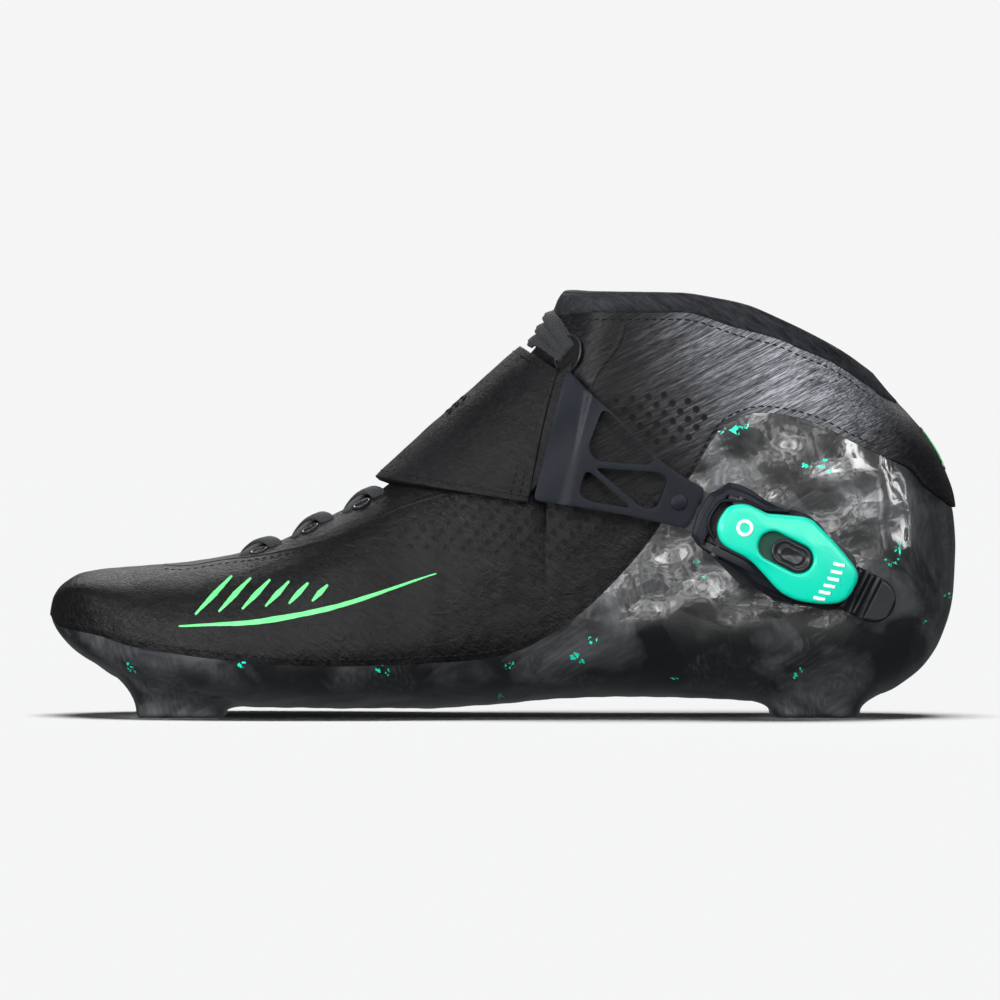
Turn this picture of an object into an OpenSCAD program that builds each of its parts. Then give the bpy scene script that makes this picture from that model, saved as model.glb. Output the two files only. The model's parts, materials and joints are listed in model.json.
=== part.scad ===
// Low-cut carbon speed-skating boot with an instep strap and a ratchet buckle.
// Toe at -X, heel at +X, outer side at -Y. The origin is the centre of the two-bolt frame mount,
// on the plane of the two mounting faces.

/* [Boot] */
// Distance between the two frame bolts
bolt_spacing = 195; // [190:1:198]
// Wall of the carbon shell
shell_wall = 2.6; // [2:0.1:3.2]
// Thickness of the leather upper
leather = 2.4; // [1.8:0.1:3]
// Thickness of the padded collar band
collar_wall = 4.2; // [3:0.1:5]
// Half of the gap between the two eyelet rows
throat_gap = 7; // [5:0.5:9]

/* [Frame mounts] */
// Radius of the tapped bolt hole
bolt_hole_r = 2.5; // [2:0.1:3]
// Outer radius of a threaded insert
insert_r = 4.5; // [4:0.1:5.5]
// Length of a mounting block along the boot
block_len = 28; // [24:1:32]
// Width of a mounting block
block_w = 36; // [32:1:42]

/* [Instep strap] */
// Outer radius of the strap over the instep
strap_r = 39.6; // [39:0.1:40.5]
// Thickness of the strap
strap_t = 2.2; // [1.6:0.1:2.4]
// Thickness of the plastic strap spreader
spreader_t = 2.5; // [2:0.1:3]

/* [Buckle] */
// Half width of the ladder strap
ladder_half = 6.6; // [6:0.1:7]
// Pitch of the ladder teeth
tooth_pitch = 3; // [2.5:0.5:4]
// Radius of the lever pin and the pawl pins
pin_r = 1.2; // [1:0.1:1.5]
// Radial clearance of a turning joint
run_gap = 0.06; // [0.04:0.01:0.1]
// Clearance beside a sliding or swinging piece
slip_gap = 0.4; // [0.3:0.05:0.6]

/* [Colours] */
// Lever cover colour
cover_colour = "#0CC98F"; // ["#0CC98F", "#C8A800", "#F0F0F0"]
// Carbon shell colour
shell_colour = "#15181A"; // ["#15181A", "#F0F0F0"]

/* [Hidden] */
$fn = 48;
leather_colour = "#1B1B1D";
pad_colour = "#2A2A2C";
plastic_colour = "#2B2F38";
steel_colour = "#B9BCC0";

// ---- side profile of the boot, each line as [x, z] ----
toe_x = -139.5;
heel_x = 142.5;
sole_line = [[-139.5, 31.5], [-138.5, 28.5], [-136, 24.5], [-131.5, 19.8], [-124, 15], [-117, 10.9],
    [-108, 7], [-98, 4.5], [-84, 3], [-52, 2.3], [-22, 2.3], [0, 3.6], [19, 5.3], [41, 5.9], [68, 5.2],
    [82, 4.5], [100, 4.2], [112, 5], [118, 6.4], [124, 9], [130.5, 13.6], [136, 20.5], [140, 30],
    [142, 41], [142.5, 52]];
instep_line = [[-139.5, 31.5], [-138, 37.2], [-135, 41], [-130, 43.8], [-120, 45.4], [-100, 47],
    [-86, 49], [-70, 53.5], [-54, 61.3], [-46, 65.2], [-36, 70.8], [-20, 84.8], [-10, 94.4],
    [0, 103.4], [8, 111], [14, 118.5], [17, 124.5], [19.6, 132.5], [24, 150], [40, 220]];
collar_line = [[16, 124], [19.6, 132.5], [28, 131.9], [56, 131.4], [67, 129.8], [77, 127.6], [87, 123.6],
    [97, 119], [107, 113.7], [116, 107.6]];
seam_line = [[16, 124], [31, 125.5], [56, 125.5], [75, 120.2], [85, 117.6], [93, 114.1], [103, 109.8],
    [112, 103.7], [118, 99.3], [123, 96.7]];
feather_line = [[-139.5, 31.2], [-136, 28.1], [-124, 25.7], [-112, 22.2], [-100, 20.4], [-88, 18.9],
    [-52, 16.6], [-16, 17.7], [-3, 18.9], [7, 21.6], [20, 28.7], [27, 34], [40, 47], [48, 57],
    [59.6, 75.4], [69.4, 90.3], [76.6, 93.6], [81, 94.4], [89, 93.5], [99, 90.7], [108, 85.9],
    [118, 81.1], [127, 76.8], [132, 71.2], [138, 66.9], [142.5, 64]];
// back of the heel, as [z, x]
back_line = [[0, 127], [10, 133.5], [20, 138], [30, 140.8], [50, 142.5], [66, 141.3], [80, 136.7],
    [88, 131.6], [98, 122.8], [107.6, 116], [120, 108], [135, 99]];

// ---- plan and rounding of the boot, each as [x, value] ----
outer_width = [[-139.5, 36], [-110, 42], [-75, 46], [-40, 44], [0, 37.5], [40, 34], [80, 33.5], [142.5, 33.5]];
inner_width = [[-139.5, 34], [-110, 42], [-75, 48], [-40, 45], [0, 36.5], [40, 34], [80, 33.5], [142.5, 33.5]];
centre_line = [[-139.5, 8], [-110, 5], [-70, 1.5], [-30, 0], [142.5, 0]];
top_round = [[-139.5, 12], [-120, 24], [-100, 28], [-60, 38], [-20, 50], [20, 42], [60, 36], [142.5, 36]];
sole_round = [[-139.5, 10], [-110, 15], [-60, 17], [0, 22], [60, 24], [142.5, 24]];
toe_round = 42;
heel_round = 30;

// Smooth curve through a list of [t, value] points
function span(t, x, i = 0) = (i >= len(t) - 2 || x < t[i + 1][0]) ? i : span(t, x, i + 1);
function secant(t, i) = (t[i + 1][1] - t[i][1]) / (t[i + 1][0] - t[i][0]);
function grade(t, i) = i == 0 ? secant(t, 0) : i == len(t) - 1 ? secant(t, i - 1)
    : let(a = secant(t, i - 1), b = secant(t, i)) a * b <= 0 ? 0 : 2 * a * b / (a + b);
function curve(t, x) = let(i = span(t, x), h = t[i + 1][0] - t[i][0], s = min(1, max(0, (x - t[i][0]) / h)))
    t[i][1] * (1 + 2 * s) * (1 - s) * (1 - s) + grade(t, i) * h * s * (1 - s) * (1 - s)
    + t[i + 1][1] * s * s * (3 - 2 * s) - grade(t, i + 1) * h * s * s * (1 - s);
function tilt_cos(t, x) = let(g = (curve(t, x + 0.5) - curve(t, x - 0.5))) 1 / sqrt(1 + g * g);
// Height at which the heel's back reaches x, found by halving
function back_height(x, lo = 52, hi = 130, n = 14) = n == 0 ? (lo + hi) / 2
    : let(m = (lo + hi) / 2)
        curve(back_line, m) > x ? back_height(x, m, hi, n - 1) : back_height(x, lo, m, n - 1);
function top_z(x) = x < 19.6 ? curve(instep_line, x) : x < 116 ? curve(collar_line, x) : back_height(x);
function feather_z(x) = min(top_z(x), max(curve(sole_line, x), curve(feather_line, x)));
function seam_z(x) = min(top_z(x), curve(seam_line, x));

// A quarter-round that starts at an edge: 0 on the edge, 1 at the rounding's full depth
function quarter(s) = sqrt(max(0, 1 - pow(1 - min(1, max(0, s)), 2)));
// Smallest of several distances, with the corners between them rounded off
function soft_min(list) = min(list) <= 0 ? 0 : pow([for (d = list) pow(d, -4)] * [for (d = list) 1], -0.25);
// The steep front of the ankle counts as no steeper than this
least_tilt = 0.5;
// Half width of the boot at (x, z); side is -1 for the outer side and 1 for the inner side
function half_width(x, z, side) = curve(side < 0 ? outer_width : inner_width, x) * quarter(soft_min([
    (curve(instep_line, x) - z) * max(least_tilt, tilt_cos(instep_line, x)) / curve(top_round, x),
    (z - curve(sole_line, x)) * tilt_cos(sole_line, x) / curve(sole_round, x),
    (x - toe_x) / toe_round,
    (curve(back_line, z) - x) / heel_round]));
// Height at which the upper is `gap` from its centre line
function throat_z(x, gap, side, lo, hi, n = 14) = n == 0 ? (lo + hi) / 2
    : let(m = (lo + hi) / 2) half_width(x, m, side) > gap ? throat_z(x, gap, side, m, hi, n - 1)
    : throat_z(x, gap, side, lo, m, n - 1);

// ---- skins: walls that follow the boot's surface ----
function spread(s) = (1 - cos(180 * s)) / 2;
function steps(a, b, n) = [for (i = [0:n]) a + (b - a) * spread(i / n)];
function even_steps(a, b, n) = [for (i = [0:n]) a + (b - a) * i / n];

// Point at depth d below the surface; lift moves it up (sole) or down (ridge) where the wall turns under
grid = 0.005;
function snap(p) = [for (c = p) round(c / grid) * grid];
function skin_point(x, z, side, w, d, lift) = let(full = curve(side < 0 ? outer_width : inner_width, x))
    snap([x * (1 - d / heel_x), curve(centre_line, x) + side * w * (1 - d / full), z + lift * d * (1 - w / full)]);

// Wall from height lo(x) to hi(x) over the stations xs, its outside `inset` deep and `wall` thick.
// ridge says whether the wall closes over the top where the boot does; a sunk wall lies wholly under the ridge.
module skin(xs, lo, hi, wall, rows, inset = 0, sides = [-1, 1], ridge = true, sunk = false) {
    nx = len(xs) - 1;
    sole = lo(0) <= curve(sole_line, 0);
    heights = [for (x = xs) [for (j = [0:rows]) lo(x) + (hi(x) - lo(x)) * spread(j / rows)]];
    widths = [for (s = sides) [for (i = [0:nx]) [for (j = [0:rows])
        (j == rows && ridge && (xs[i] < 19.6 || xs[i] > 116) && hi(xs[i]) > top_z(xs[i]) - 0.01) ? 0
        : half_width(xs[i], heights[i][j], s)]]];
    points = [for (d = [inset, inset + wall]) for (k = [0:len(sides) - 1]) for (i = [0:nx]) for (j = [0:rows])
        let(v = j / rows, rise = hi(xs[i]) - lo(xs[i]),
            most = min(1, 0.35 * rise / (inset + wall)),
            lift = sunk ? -1 : sole ? min(most, max(0, 1 - 2 * v)) : -min(most, max(0, 2 * v - 1)))
        skin_point(xs[i], heights[i][j], sides[k], widths[k][i][j], d, ridge || sole ? lift : 0)];
    function at(layer, k, i, j) = ((layer * len(sides) + k) * (nx + 1) + i) * (rows + 1) + j;
    function turned(f, flip) = flip ? [f[3], f[2], f[1], f[0]] : f;
    function shut(k, i, j) = widths[k][i][j] < grid / 2;
    quads = [for (k = [0:len(sides) - 1]) let(flip = sides[k] > 0) each concat(
        [for (i = [0:nx - 1]) for (j = [0:rows - 1])
            turned([at(0, k, i, j), at(0, k, i, j + 1), at(0, k, i + 1, j + 1), at(0, k, i + 1, j)], flip)],
        [for (i = [0:nx - 1]) for (j = [0:rows - 1])
            turned([at(1, k, i, j), at(1, k, i, j + 1), at(1, k, i + 1, j + 1), at(1, k, i + 1, j)], !flip)],
        [for (i = [0:nx - 1]) for (j = [0, rows]) if (!(shut(k, i, j) && shut(k, i + 1, j)))
            turned([at(0, k, i, j), at(1, k, i, j), at(1, k, i + 1, j), at(0, k, i + 1, j)], flip == (j > 0))],
        [for (j = [0:rows - 1]) for (i = [0, nx]) if (!(shut(k, i, j) && shut(k, i, j + 1)))
            turned([at(0, k, i, j), at(0, k, i, j + 1), at(1, k, i, j + 1), at(1, k, i, j)], flip == (i > 0))])];
    function apart(a, b) = norm(points[a] - points[b]) > grid / 2;
    polyhedron(points, [for (q = quads) for (t = [[q[0], q[1], q[2]], [q[0], q[2], q[3]]])
        if (apart(t[0], t[1]) && apart(t[1], t[2]) && apart(t[0], t[2])) t], convexity = 8);
}

// ---- boot ----
module carbon_shell() {
    color(shell_colour) difference() {
        skin(steps(toe_x, heel_x, 40), function(x) curve(sole_line, x), function(x) feather_z(x), shell_wall, 10);
        for (side = [-1, 1]) translate([side * bolt_spacing / 2, 0, -1]) cylinder(r = insert_r + 0.1, h = 14);
    }
}

join_gap = 0.4;
panel_front_x = 27;
tab_front_x = 112;
throat_start_x = -84;
function gap_at(x) = x < throat_start_x ? 0 : throat_gap * min(1, sqrt((x - throat_start_x) / 20));
function eyestay_z(x) = gap_at(x) < 0.1 ? top_z(x)
    : throat_z(x, gap_at(x), -1, curve(instep_line, x) - 30, curve(instep_line, x));

module vamp() {
    color(leather_colour)
        skin(concat(steps(toe_x, throat_start_x, 12), even_steps(throat_start_x + 3, 15.5, 17),
                [19, 23, panel_front_x]),
            function(x) feather_z(x) + min(join_gap, (top_z(x) - feather_z(x)) / 2),
            function(x) x > 15.5 ? min(seam_z(x) - join_gap, eyestay_z(x)) : eyestay_z(x), leather, 8);
}
module ankle_panel(side) {
    color(leather_colour)
        skin(even_steps(panel_front_x + join_gap, tab_front_x - join_gap, 16), function(x) feather_z(x) + join_gap,
            function(x) seam_z(x) - join_gap, leather, 6, sides = [side], ridge = false);
}
module outer_ankle_panel() { ankle_panel(-1); }
module inner_ankle_panel() { ankle_panel(1); }
module heel_tab() {
    color(leather_colour)
        skin(concat(even_steps(tab_front_x, 122, 4), steps(123.5, 142, 8)), function(x) feather_z(x) + join_gap,
            function(x) x < 123.2 ? seam_z(x) - join_gap : top_z(x), leather, 6);
}
module collar_band() {
    color(pad_colour)
        skin(concat(even_steps(20.5, 110, 16), even_steps(112, 122, 5)), function(x) seam_z(x),
            function(x) x < 26 ? min(top_z(x), eyestay_z(x)) : top_z(x), collar_wall, 3);
}
module tongue() {
    color(pad_colour)
        skin(even_steps(-76, 18, 20),
            function(x) throat_z(x, 15, -1, curve(instep_line, x) - 40, curve(instep_line, x)),
            function(x) curve(instep_line, x), 3, 3, inset = leather + 1, sunk = true);
}
module ankle_padding() {
    color(pad_colour) for (side = [-1, 1])
        skin(even_steps(44, 106, 10), function(x) feather_z(x) + 3, function(x) seam_z(x) - 3, 4, 3,
            inset = leather + 0.4, sides = [side], ridge = false);
}

insole_t = 3;
insole_front_x = -116;
insole_back_x = 120;
module insole() {
    xs = even_steps(insole_front_x, insole_back_x, 22);
    rings = [for (x = xs) let(z = max(12.4, curve(sole_line, x) + 7), c = curve(centre_line, x),
            outer = c - half_width(x, z, -1) + shell_wall + 2, inner = c + half_width(x, z, 1) - shell_wall - 2)
        [[x, outer, z], [x, inner, z], [x, inner, z + insole_t], [x, outer, z + insole_t]]];
    last = len(xs) - 1;
    color(pad_colour) polyhedron([for (ring = rings) each ring], concat([[0, 1, 2, 3]],
        [[4 * last + 3, 4 * last + 2, 4 * last + 1, 4 * last]],
        [for (i = [0:last - 1]) for (k = [0:3]) for (t = [0, 1]) let(a = 4 * i + k, b = 4 * i + (k + 1) % 4)
            t == 0 ? [a, a + 4, b + 4] : [a, b + 4, b]]));
}

// ---- frame mounts ----
module block(bolt_x, outward) {
    centre_x = bolt_x + outward;
    top_half = block_w / 2 + 2;
    color(shell_colour) difference() {
        hull() {
            translate([centre_x - block_len / 2 + 3, 0, 0]) for (x = [0, block_len - 6]) for (side = [-1, 1])
                translate([x, side * (block_w / 2 - 3), 0]) cylinder(r = 3, h = 1, $fn = 24);
            translate([centre_x - block_len / 2, -top_half, 8]) cube([block_len, 2 * top_half, 0.5]);
        }
        translate([bolt_x, 0, -1]) cylinder(r = insert_r, h = 20);
    }
}
module front_mount_block() { block(-bolt_spacing / 2, -1); }
module rear_mount_block() { block(bolt_spacing / 2, 1); }
module insert_sleeve(centre_x) {
    flange_r = insert_r + 3;
    color(steel_colour) translate([centre_x, 0, 0]) difference() {
        union() {
            cylinder(r = insert_r, h = 10);
            translate([0, 0, 9.9]) cylinder(r = flange_r, h = 1.6);
        }
        translate([0, 0, -1]) cylinder(r = bolt_hole_r, h = 20);
    }
}
module front_threaded_insert() { insert_sleeve(-bolt_spacing / 2); }
module rear_threaded_insert() { insert_sleeve(bolt_spacing / 2); }

// ---- laces and eyelets ----
lace_x = [-74, -58, -42, -26, -10, 1];
lace_w = 5;
lace_t = 0.8;
lace_half = 7.5;
eyelet_r = 3.2;
function slope_angle(x) = atan(curve(instep_line, x + 0.5) - curve(instep_line, x - 0.5));
module on_ridge(x) {
    translate([x, curve(centre_line, x), curve(instep_line, x)]) rotate([0, -slope_angle(x), 0]) children();
}
module laces() {
    cross_angle = 12;
    color(pad_colour) for (i = [0:len(lace_x) - 1]) on_ridge(lace_x[i])
        rotate([0, 0, i % 2 == 0 ? cross_angle : -cross_angle])
            translate([-lace_w / 2, -lace_half, 0.25]) cube([lace_w, 2 * lace_half, lace_t]);
}
module eyelets() {
    reach = throat_gap + 4.5;
    color(steel_colour) for (x = lace_x) for (side = [-1, 1])
        translate([x, curve(centre_line, x) + side * reach,
                throat_z(x, reach, side, curve(instep_line, x) - 30, curve(instep_line, x))])
            rotate([0, -slope_angle(x), 0]) rotate([side < 0 ? 28 : -28, 0, 0]) difference() {
                translate([0, 0, -1.2]) cylinder(r = eyelet_r, h = 1.6);
                translate([0, 0, -2]) cylinder(r = eyelet_r - 1.1, h = 4);
            }
}

// ---- instep strap and spreader ----
instep_angle = 42;
arch_axis = 41.5;
module instep_frame() { rotate([0, -instep_angle, 0]) translate([0, 0, arch_axis]) children(); }
module arch(r) {
    circle(r = r, $fn = 96);
    translate([-r, -80]) square([2 * r, 80]);
}
// Wall that runs up one side of the boot, over the instep and down the other side
module arch_wall(r, wall) {
    instep_frame() rotate([90, 0, 90]) linear_extrude(110) difference() {
        arch(r);
        translate([0, -0.01]) arch(r - wall);
    }
}
module side_prism(outline, y_low, y_high) {
    translate([0, y_high, 0]) rotate([90, 0, 0]) linear_extrude(y_high - y_low) polygon(outline);
}
module instep_strap() {
    color(leather_colour) intersection() {
        arch_wall(strap_r, strap_t);
        union() {
            side_prism([[-38.4, 74.6], [-41, 77.5], [4.2, 118.2], [6.8, 115.3], [18.4, 107.5], [26, 98],
                [19.5, 66.5], [9.3, 66.6]], -60, 0.01);
            side_prism([[-38.4, 74.6], [-41, 77.5], [4.2, 118.2], [6.8, 115.3], [19.6, 76.9],
                [-1.2, 58.1]], 0, 60);
        }
    }
}
module strap_spreader() {
    wall_r = strap_r + 0.2 + spreader_t;
    color(plastic_colour) intersection() {
        arch_wall(wall_r, spreader_t);
        difference() {
            side_prism([[21.1, 108.2], [28.6, 100.1], [36.1, 94.2], [47.3, 82.9], [51.8, 78.1], [56.7, 75.1],
                [63.8, 71.1], [57.4, 58.8], [51.1, 60.8], [39.9, 63.1], [24.9, 65.7], [10.8, 67.5]], -60, 0);
            side_prism([[30.9, 94.5], [33.8, 94.6], [47.7, 80.7], [47, 78.2], [30.1, 79.5], [27.5, 83.7]], -61, 1);
            side_prism([[30.3, 77.6], [50.3, 76.3], [52.2, 73.9], [48.8, 65.3], [45.8, 64.8], [30.3, 76]], -61, 1);
            side_prism([[27.9, 76], [29.7, 75.6], [41, 65.1], [26.7, 67.2], [24.7, 70.2]], -61, 1);
            buckle_frame() translate([spreader_rivet_x, 0, 30]) cylinder(r = 1.5, h = 20);
        }
    }
}
anchor_outline = [[-0.8, 57.4], [19.9, 76.1], [30.5, 62], [24, 48], [12, 42.5]];
anchor_y = 36.8;
anchor_points = [[8, 55], [19.5, 60.5]];
module strap_anchor() {
    color(plastic_colour) difference() {
        side_prism(anchor_outline, anchor_y, anchor_y + 2);
        for (p = anchor_points) translate([p[0], anchor_y - 1, p[1]]) rotate([-90, 0, 0]) cylinder(r = 1.6, h = 5);
    }
}
module anchor_rivets() {
    color(steel_colour) for (p = anchor_points) translate([p[0], 0, p[1]]) rotate([-90, 0, 0]) {
        translate([0, 0, anchor_y - 6]) cylinder(r = 1.6, h = 8);
        translate([0, 0, anchor_y + 2]) cylinder(r = 3.2, h = 0.9);
    }
}

// ---- ratchet buckle, in its own frame: +X along the ladder towards the heel, +Z away from the boot ----
buckle_x = 87.7;
buckle_z = 50.8;
buckle_tilt = 26.57;
pad_low = 33.7;
floor_low = 35.2;
floor_high = 37.1;
ladder_low = 37.5;
ladder_high = 39.5;
tooth_high = 40.5;
wall_in = ladder_half + slip_gap;
wall_out = wall_in + 2.2;
wall_high = 45.9;
lever_pin_at = [-19, 44.3];
drive_pin_at = [-13.5, 44];
hold_pin_at = [6, 43];
drive_pin_r = 1;
arm_out = wall_in - slip_gap;
arm_in = 3.9;
plate_low = 45.6;
plate_high = 46.9;
button_x = 1.7;
screw_spots = [-8, 13];
module buckle_frame() {
    translate([buckle_x, 0, buckle_z]) rotate([90, 0, 0]) rotate([0, 0, -buckle_tilt]) children();
}
// Solid whose outline lies in the buckle's XZ plane, between two widths
module cross_prism(outline, y_low, y_high) {
    translate([0, y_high, 0]) rotate([90, 0, 0]) linear_extrude(y_high - y_low) polygon(outline);
}
module cross_pin(at, r, y_low, y_high) {
    translate([at[0], y_high, at[1]]) rotate([90, 0, 0]) cylinder(r = r, h = y_high - y_low);
}
module oval(length, width) {
    hull() for (x = [-1, 1]) translate([x * (length - width) / 2, 0]) circle(d = width);
}
module base_outline() {
    hull() {
        translate([-25, -5]) circle(r = 3);
        translate([-25, 5]) circle(r = 3);
        translate([-8, -10]) circle(r = 4);
        translate([-8, 9.5]) circle(r = 4);
        translate([17, -5]) circle(r = 5);
        translate([17, 5]) circle(r = 5);
    }
}
module buckle_pad() {
    color(pad_colour) buckle_frame() difference() {
        translate([0, 0, pad_low]) linear_extrude(floor_low - pad_low) base_outline();
        for (x = screw_spots) translate([x, 0, pad_low - 1]) cylinder(r = 1.7, h = 5);
    }
}
module buckle_base() {
    color(pad_colour) buckle_frame() difference() {
        union() {
            translate([0, 0, floor_low]) linear_extrude(floor_high - floor_low) base_outline();
            for (side = [-1, 1]) scale([1, side, 1])
                cross_prism([[-23, floor_low + 0.5], [11, floor_low + 0.5], [10, wall_high - 1], [8, wall_high],
                    [-20.6, wall_high], [-23, wall_high - 2]], wall_in, wall_out);
            for (side = [-1, 1]) scale([1, side, 1])
                cross_prism([[-27.6, floor_low + 0.5], [-24.2, floor_low + 0.5], [-24.2, 43], [-26.4, 43]],
                    wall_in - 0.2, wall_out - 1.2);
            cross_prism([[-27, tooth_high + 0.7], [-24.2, tooth_high + 0.7], [-24.2, 43], [-26.4, 43]],
                -wall_in, wall_in);
        }
        for (at = [lever_pin_at, hold_pin_at]) cross_pin(at, pin_r, -20, 20);
        for (x = screw_spots) translate([x, 0, floor_low - 1]) {
            cylinder(r = 1.6, h = 5);
            translate([0, 0, floor_high - floor_low]) cylinder(r = 3.5, h = 5);
        }
    }
}
module buckle_screws() {
    head_low = floor_high - 1;
    color(steel_colour) buckle_frame() for (x = screw_spots) translate([x, 0, 0]) {
        translate([0, 0, 28]) cylinder(r = 1.6, h = head_low - 28);
        translate([0, 0, head_low]) difference() {
            cylinder(r = 3.5, h = 1);
            translate([0, 0, 0.4]) cylinder(r = 1.2, h = 1, $fn = 6);
        }
    }
}
module buckle_tee_nuts() {
    color(steel_colour) buckle_frame() for (x = screw_spots) translate([x, 0, 28.4]) difference() {
        cylinder(r = 5, h = 1.6);
        translate([0, 0, -1]) cylinder(r = 1.6, h = 5);
    }
}
module pin_with_heads(at, r, reach, head_r) {
    color(steel_colour) buckle_frame() union() {
        cross_pin(at, r, -reach, reach);
        cross_pin(at, head_r, reach, reach + 0.8);
        cross_pin(at, head_r, -reach - 0.8, -reach);
    }
}
module lever_pin() { pin_with_heads(lever_pin_at, pin_r, wall_out, pin_r + 0.4); }
module hold_pawl_pin() { pin_with_heads(hold_pin_at, pin_r, wall_out, pin_r + 0.8); }
module drive_pawl_pin() {
    color(steel_colour) buckle_frame() cross_pin(drive_pin_at, drive_pin_r, -arm_out, arm_out);
}

ladder_front = -41;
ladder_round = 31;
teeth = 16;
first_tooth = -19.4;
module ladder_strap() {
    saw = [for (k = [0:teeth - 1]) let(x = first_tooth + k * tooth_pitch) each
        [[x, ladder_high], [x + 0.2, tooth_high], [x + 0.9, tooth_high], [x + tooth_pitch - 0.2, ladder_high]]];
    color("#232427") buckle_frame() difference() {
        union() {
            cross_prism(concat([[ladder_front, ladder_low], [ladder_front, ladder_high]], saw,
                [[ladder_round, ladder_high], [ladder_round, ladder_low]]), -ladder_half, ladder_half);
            translate([ladder_round, 0, ladder_low]) cylinder(r = ladder_half, h = ladder_high - ladder_low);
            translate([ladder_round, 0, ladder_high - 0.1]) difference() {
                cylinder(r = ladder_half - 0.6, h = tooth_high - ladder_high + 0.1);
                for (x = [-1.2, 2.6]) translate([x, -10, 0.1]) cube([1.2, 20, 3]);
            }
        }
        translate([spreader_rivet_x, 0, 30]) cylinder(r = 1.5, h = 20);
    }
}
spreader_rivet_x = -36;
module spreader_rivet() {
    outer_face = strap_r + 0.2 + spreader_t;
    color(steel_colour) buckle_frame() translate([spreader_rivet_x, 0, 0]) {
        translate([0, 0, ladder_low - 0.6]) cylinder(r = 3, h = 0.6);
        translate([0, 0, ladder_low]) cylinder(r = 1.5, h = outer_face - ladder_low);
        translate([0, 0, outer_face]) cylinder(r = 2.6, h = 0.7);
    }
}

// ---- lever, pawls, springs and button ----
module lever_arms() {
    for (side = [-1, 1]) scale([1, side, 1])
        cross_prism([[-21, 43.2], [-19, 42.2], [-12, 42.2], [-8, 43.6], [-5, plate_low],
            [-5, plate_high], [-21, plate_high]], arm_in, arm_out);
}
module buckle_lever() {
    lever_back = 19;
    color(pad_colour) buckle_frame() difference() {
        union() {
            lever_arms();
            translate([-9, -arm_out, plate_low]) cube([lever_back + 9, 2 * arm_out, plate_high - plate_low]);
            translate([-21, -arm_out, plate_high - 0.6]) cube([13, 2 * arm_out, 0.6]);
        }
        cross_pin(lever_pin_at, pin_r + run_gap, -20, 20);
        cross_pin(drive_pin_at, drive_pin_r, -20, 20);
        translate([button_x, 0, plate_low - 1]) linear_extrude(4) oval(6.8, 4.8);
    }
}
cover_outline_front = 6.5;
cover_outline_mid = 11.8;
cover_outline_back = 7.2;
module cover_outline() {
    hull() {
        translate([-14.6, 0]) circle(r = cover_outline_front);
        translate([4, 0]) circle(r = 7.8);
    }
    hull() {
        translate([5.5, 0]) circle(r = cover_outline_mid);
        translate([16.2, 0]) circle(r = cover_outline_back);
    }
}
module lever_cover() {
    color(cover_colour) buckle_frame() difference() {
        union() {
            translate([0, 0, plate_high]) linear_extrude(1.9) cover_outline();
            translate([0, 0, plate_high + 1.8]) linear_extrude(1) offset(delta = -1.4) cover_outline();
        }
        translate([button_x - 1.4, 0, plate_high - 1]) linear_extrude(6) oval(17, 8);
    }
}
button_gap = 0.3;
stem_x = 0.7;
finger_high = 43.8;
module release_button() {
    color(plastic_colour) buckle_frame() difference() {
        union() {
            translate([stem_x, 0, finger_high + button_gap]) linear_extrude(4.6) oval(4.2, 3.4);
            translate([button_x, 0, plate_high + 1.6]) linear_extrude(1.2) oval(11, 6);
        }
        translate([button_x, 0, plate_high + 1.6 + 9.6]) rotate([90, 0, 0]) cylinder(r = 9, h = 4, center = true);
    }
}
pawl_clear = 0.2;
module pawl(at, bore, hub_r, half_width, tip, root_low, root_high) {
    color(steel_colour) buckle_frame() difference() {
        union() {
            cross_pin(at, hub_r, -half_width, half_width);
            cross_prism([[at[0], root_high], [tip, tooth_high + pawl_clear + 1],
                [tip + 0.5, tooth_high + pawl_clear], [tip - 0.6, tooth_high + pawl_clear],
                [at[0], root_low]], -half_width, half_width);
        }
        cross_pin(at, bore, -20, 20);
    }
}
module drive_pawl() { pawl(drive_pin_at, drive_pin_r + run_gap, 2, arm_in - 0.3, -7, 42.2, 45); }
hold_half = 3.2;
module hold_pawl() {
    color(steel_colour) buckle_frame() difference() {
        union() {
            cross_pin(hold_pin_at, 2, -hold_half, hold_half);
            cross_prism([[6, 44.8], [12, 41.7], [12.5, tooth_high + pawl_clear], [11.4, tooth_high + pawl_clear],
                [6, 41.2]], -hold_half, hold_half);
            cross_prism([[0.2, 42.6], [6, 42.2], [6, 43.2], [1.4, 43.2], [1.4, finger_high], [0.2, finger_high]],
                -hold_half, hold_half);
        }
        cross_pin(hold_pin_at, pin_r + run_gap, -20, 20);
    }
}
// Close-wound spring: one turned solid with a ridge for each coil
module coil(at, inner_r, wire, y_low, y_high) {
    turns = floor((y_high - y_low) / wire);
    ridges = [for (k = [0:turns - 1]) each [[inner_r + 0.6 * wire, k * wire], [inner_r + wire, (k + 0.5) * wire]]];
    translate([at[0], y_high, at[1]]) rotate([90, 0, 0]) rotate_extrude()
        polygon(concat([[inner_r, 0]], ridges, [[inner_r + 0.6 * wire, turns * wire], [inner_r, turns * wire]]));
}
module lever_spring() { color(steel_colour) buckle_frame() coil(lever_pin_at, pin_r + 0.15, 0.5, -3.2, 3.2); }
module hold_pawl_spring() {
    color(steel_colour) buckle_frame() for (side = [-1, 1]) scale([1, side, 1])
        coil(hold_pin_at, pin_r + 0.2, 0.6, hold_half + 0.3, hold_half + 3.3);
}

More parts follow.
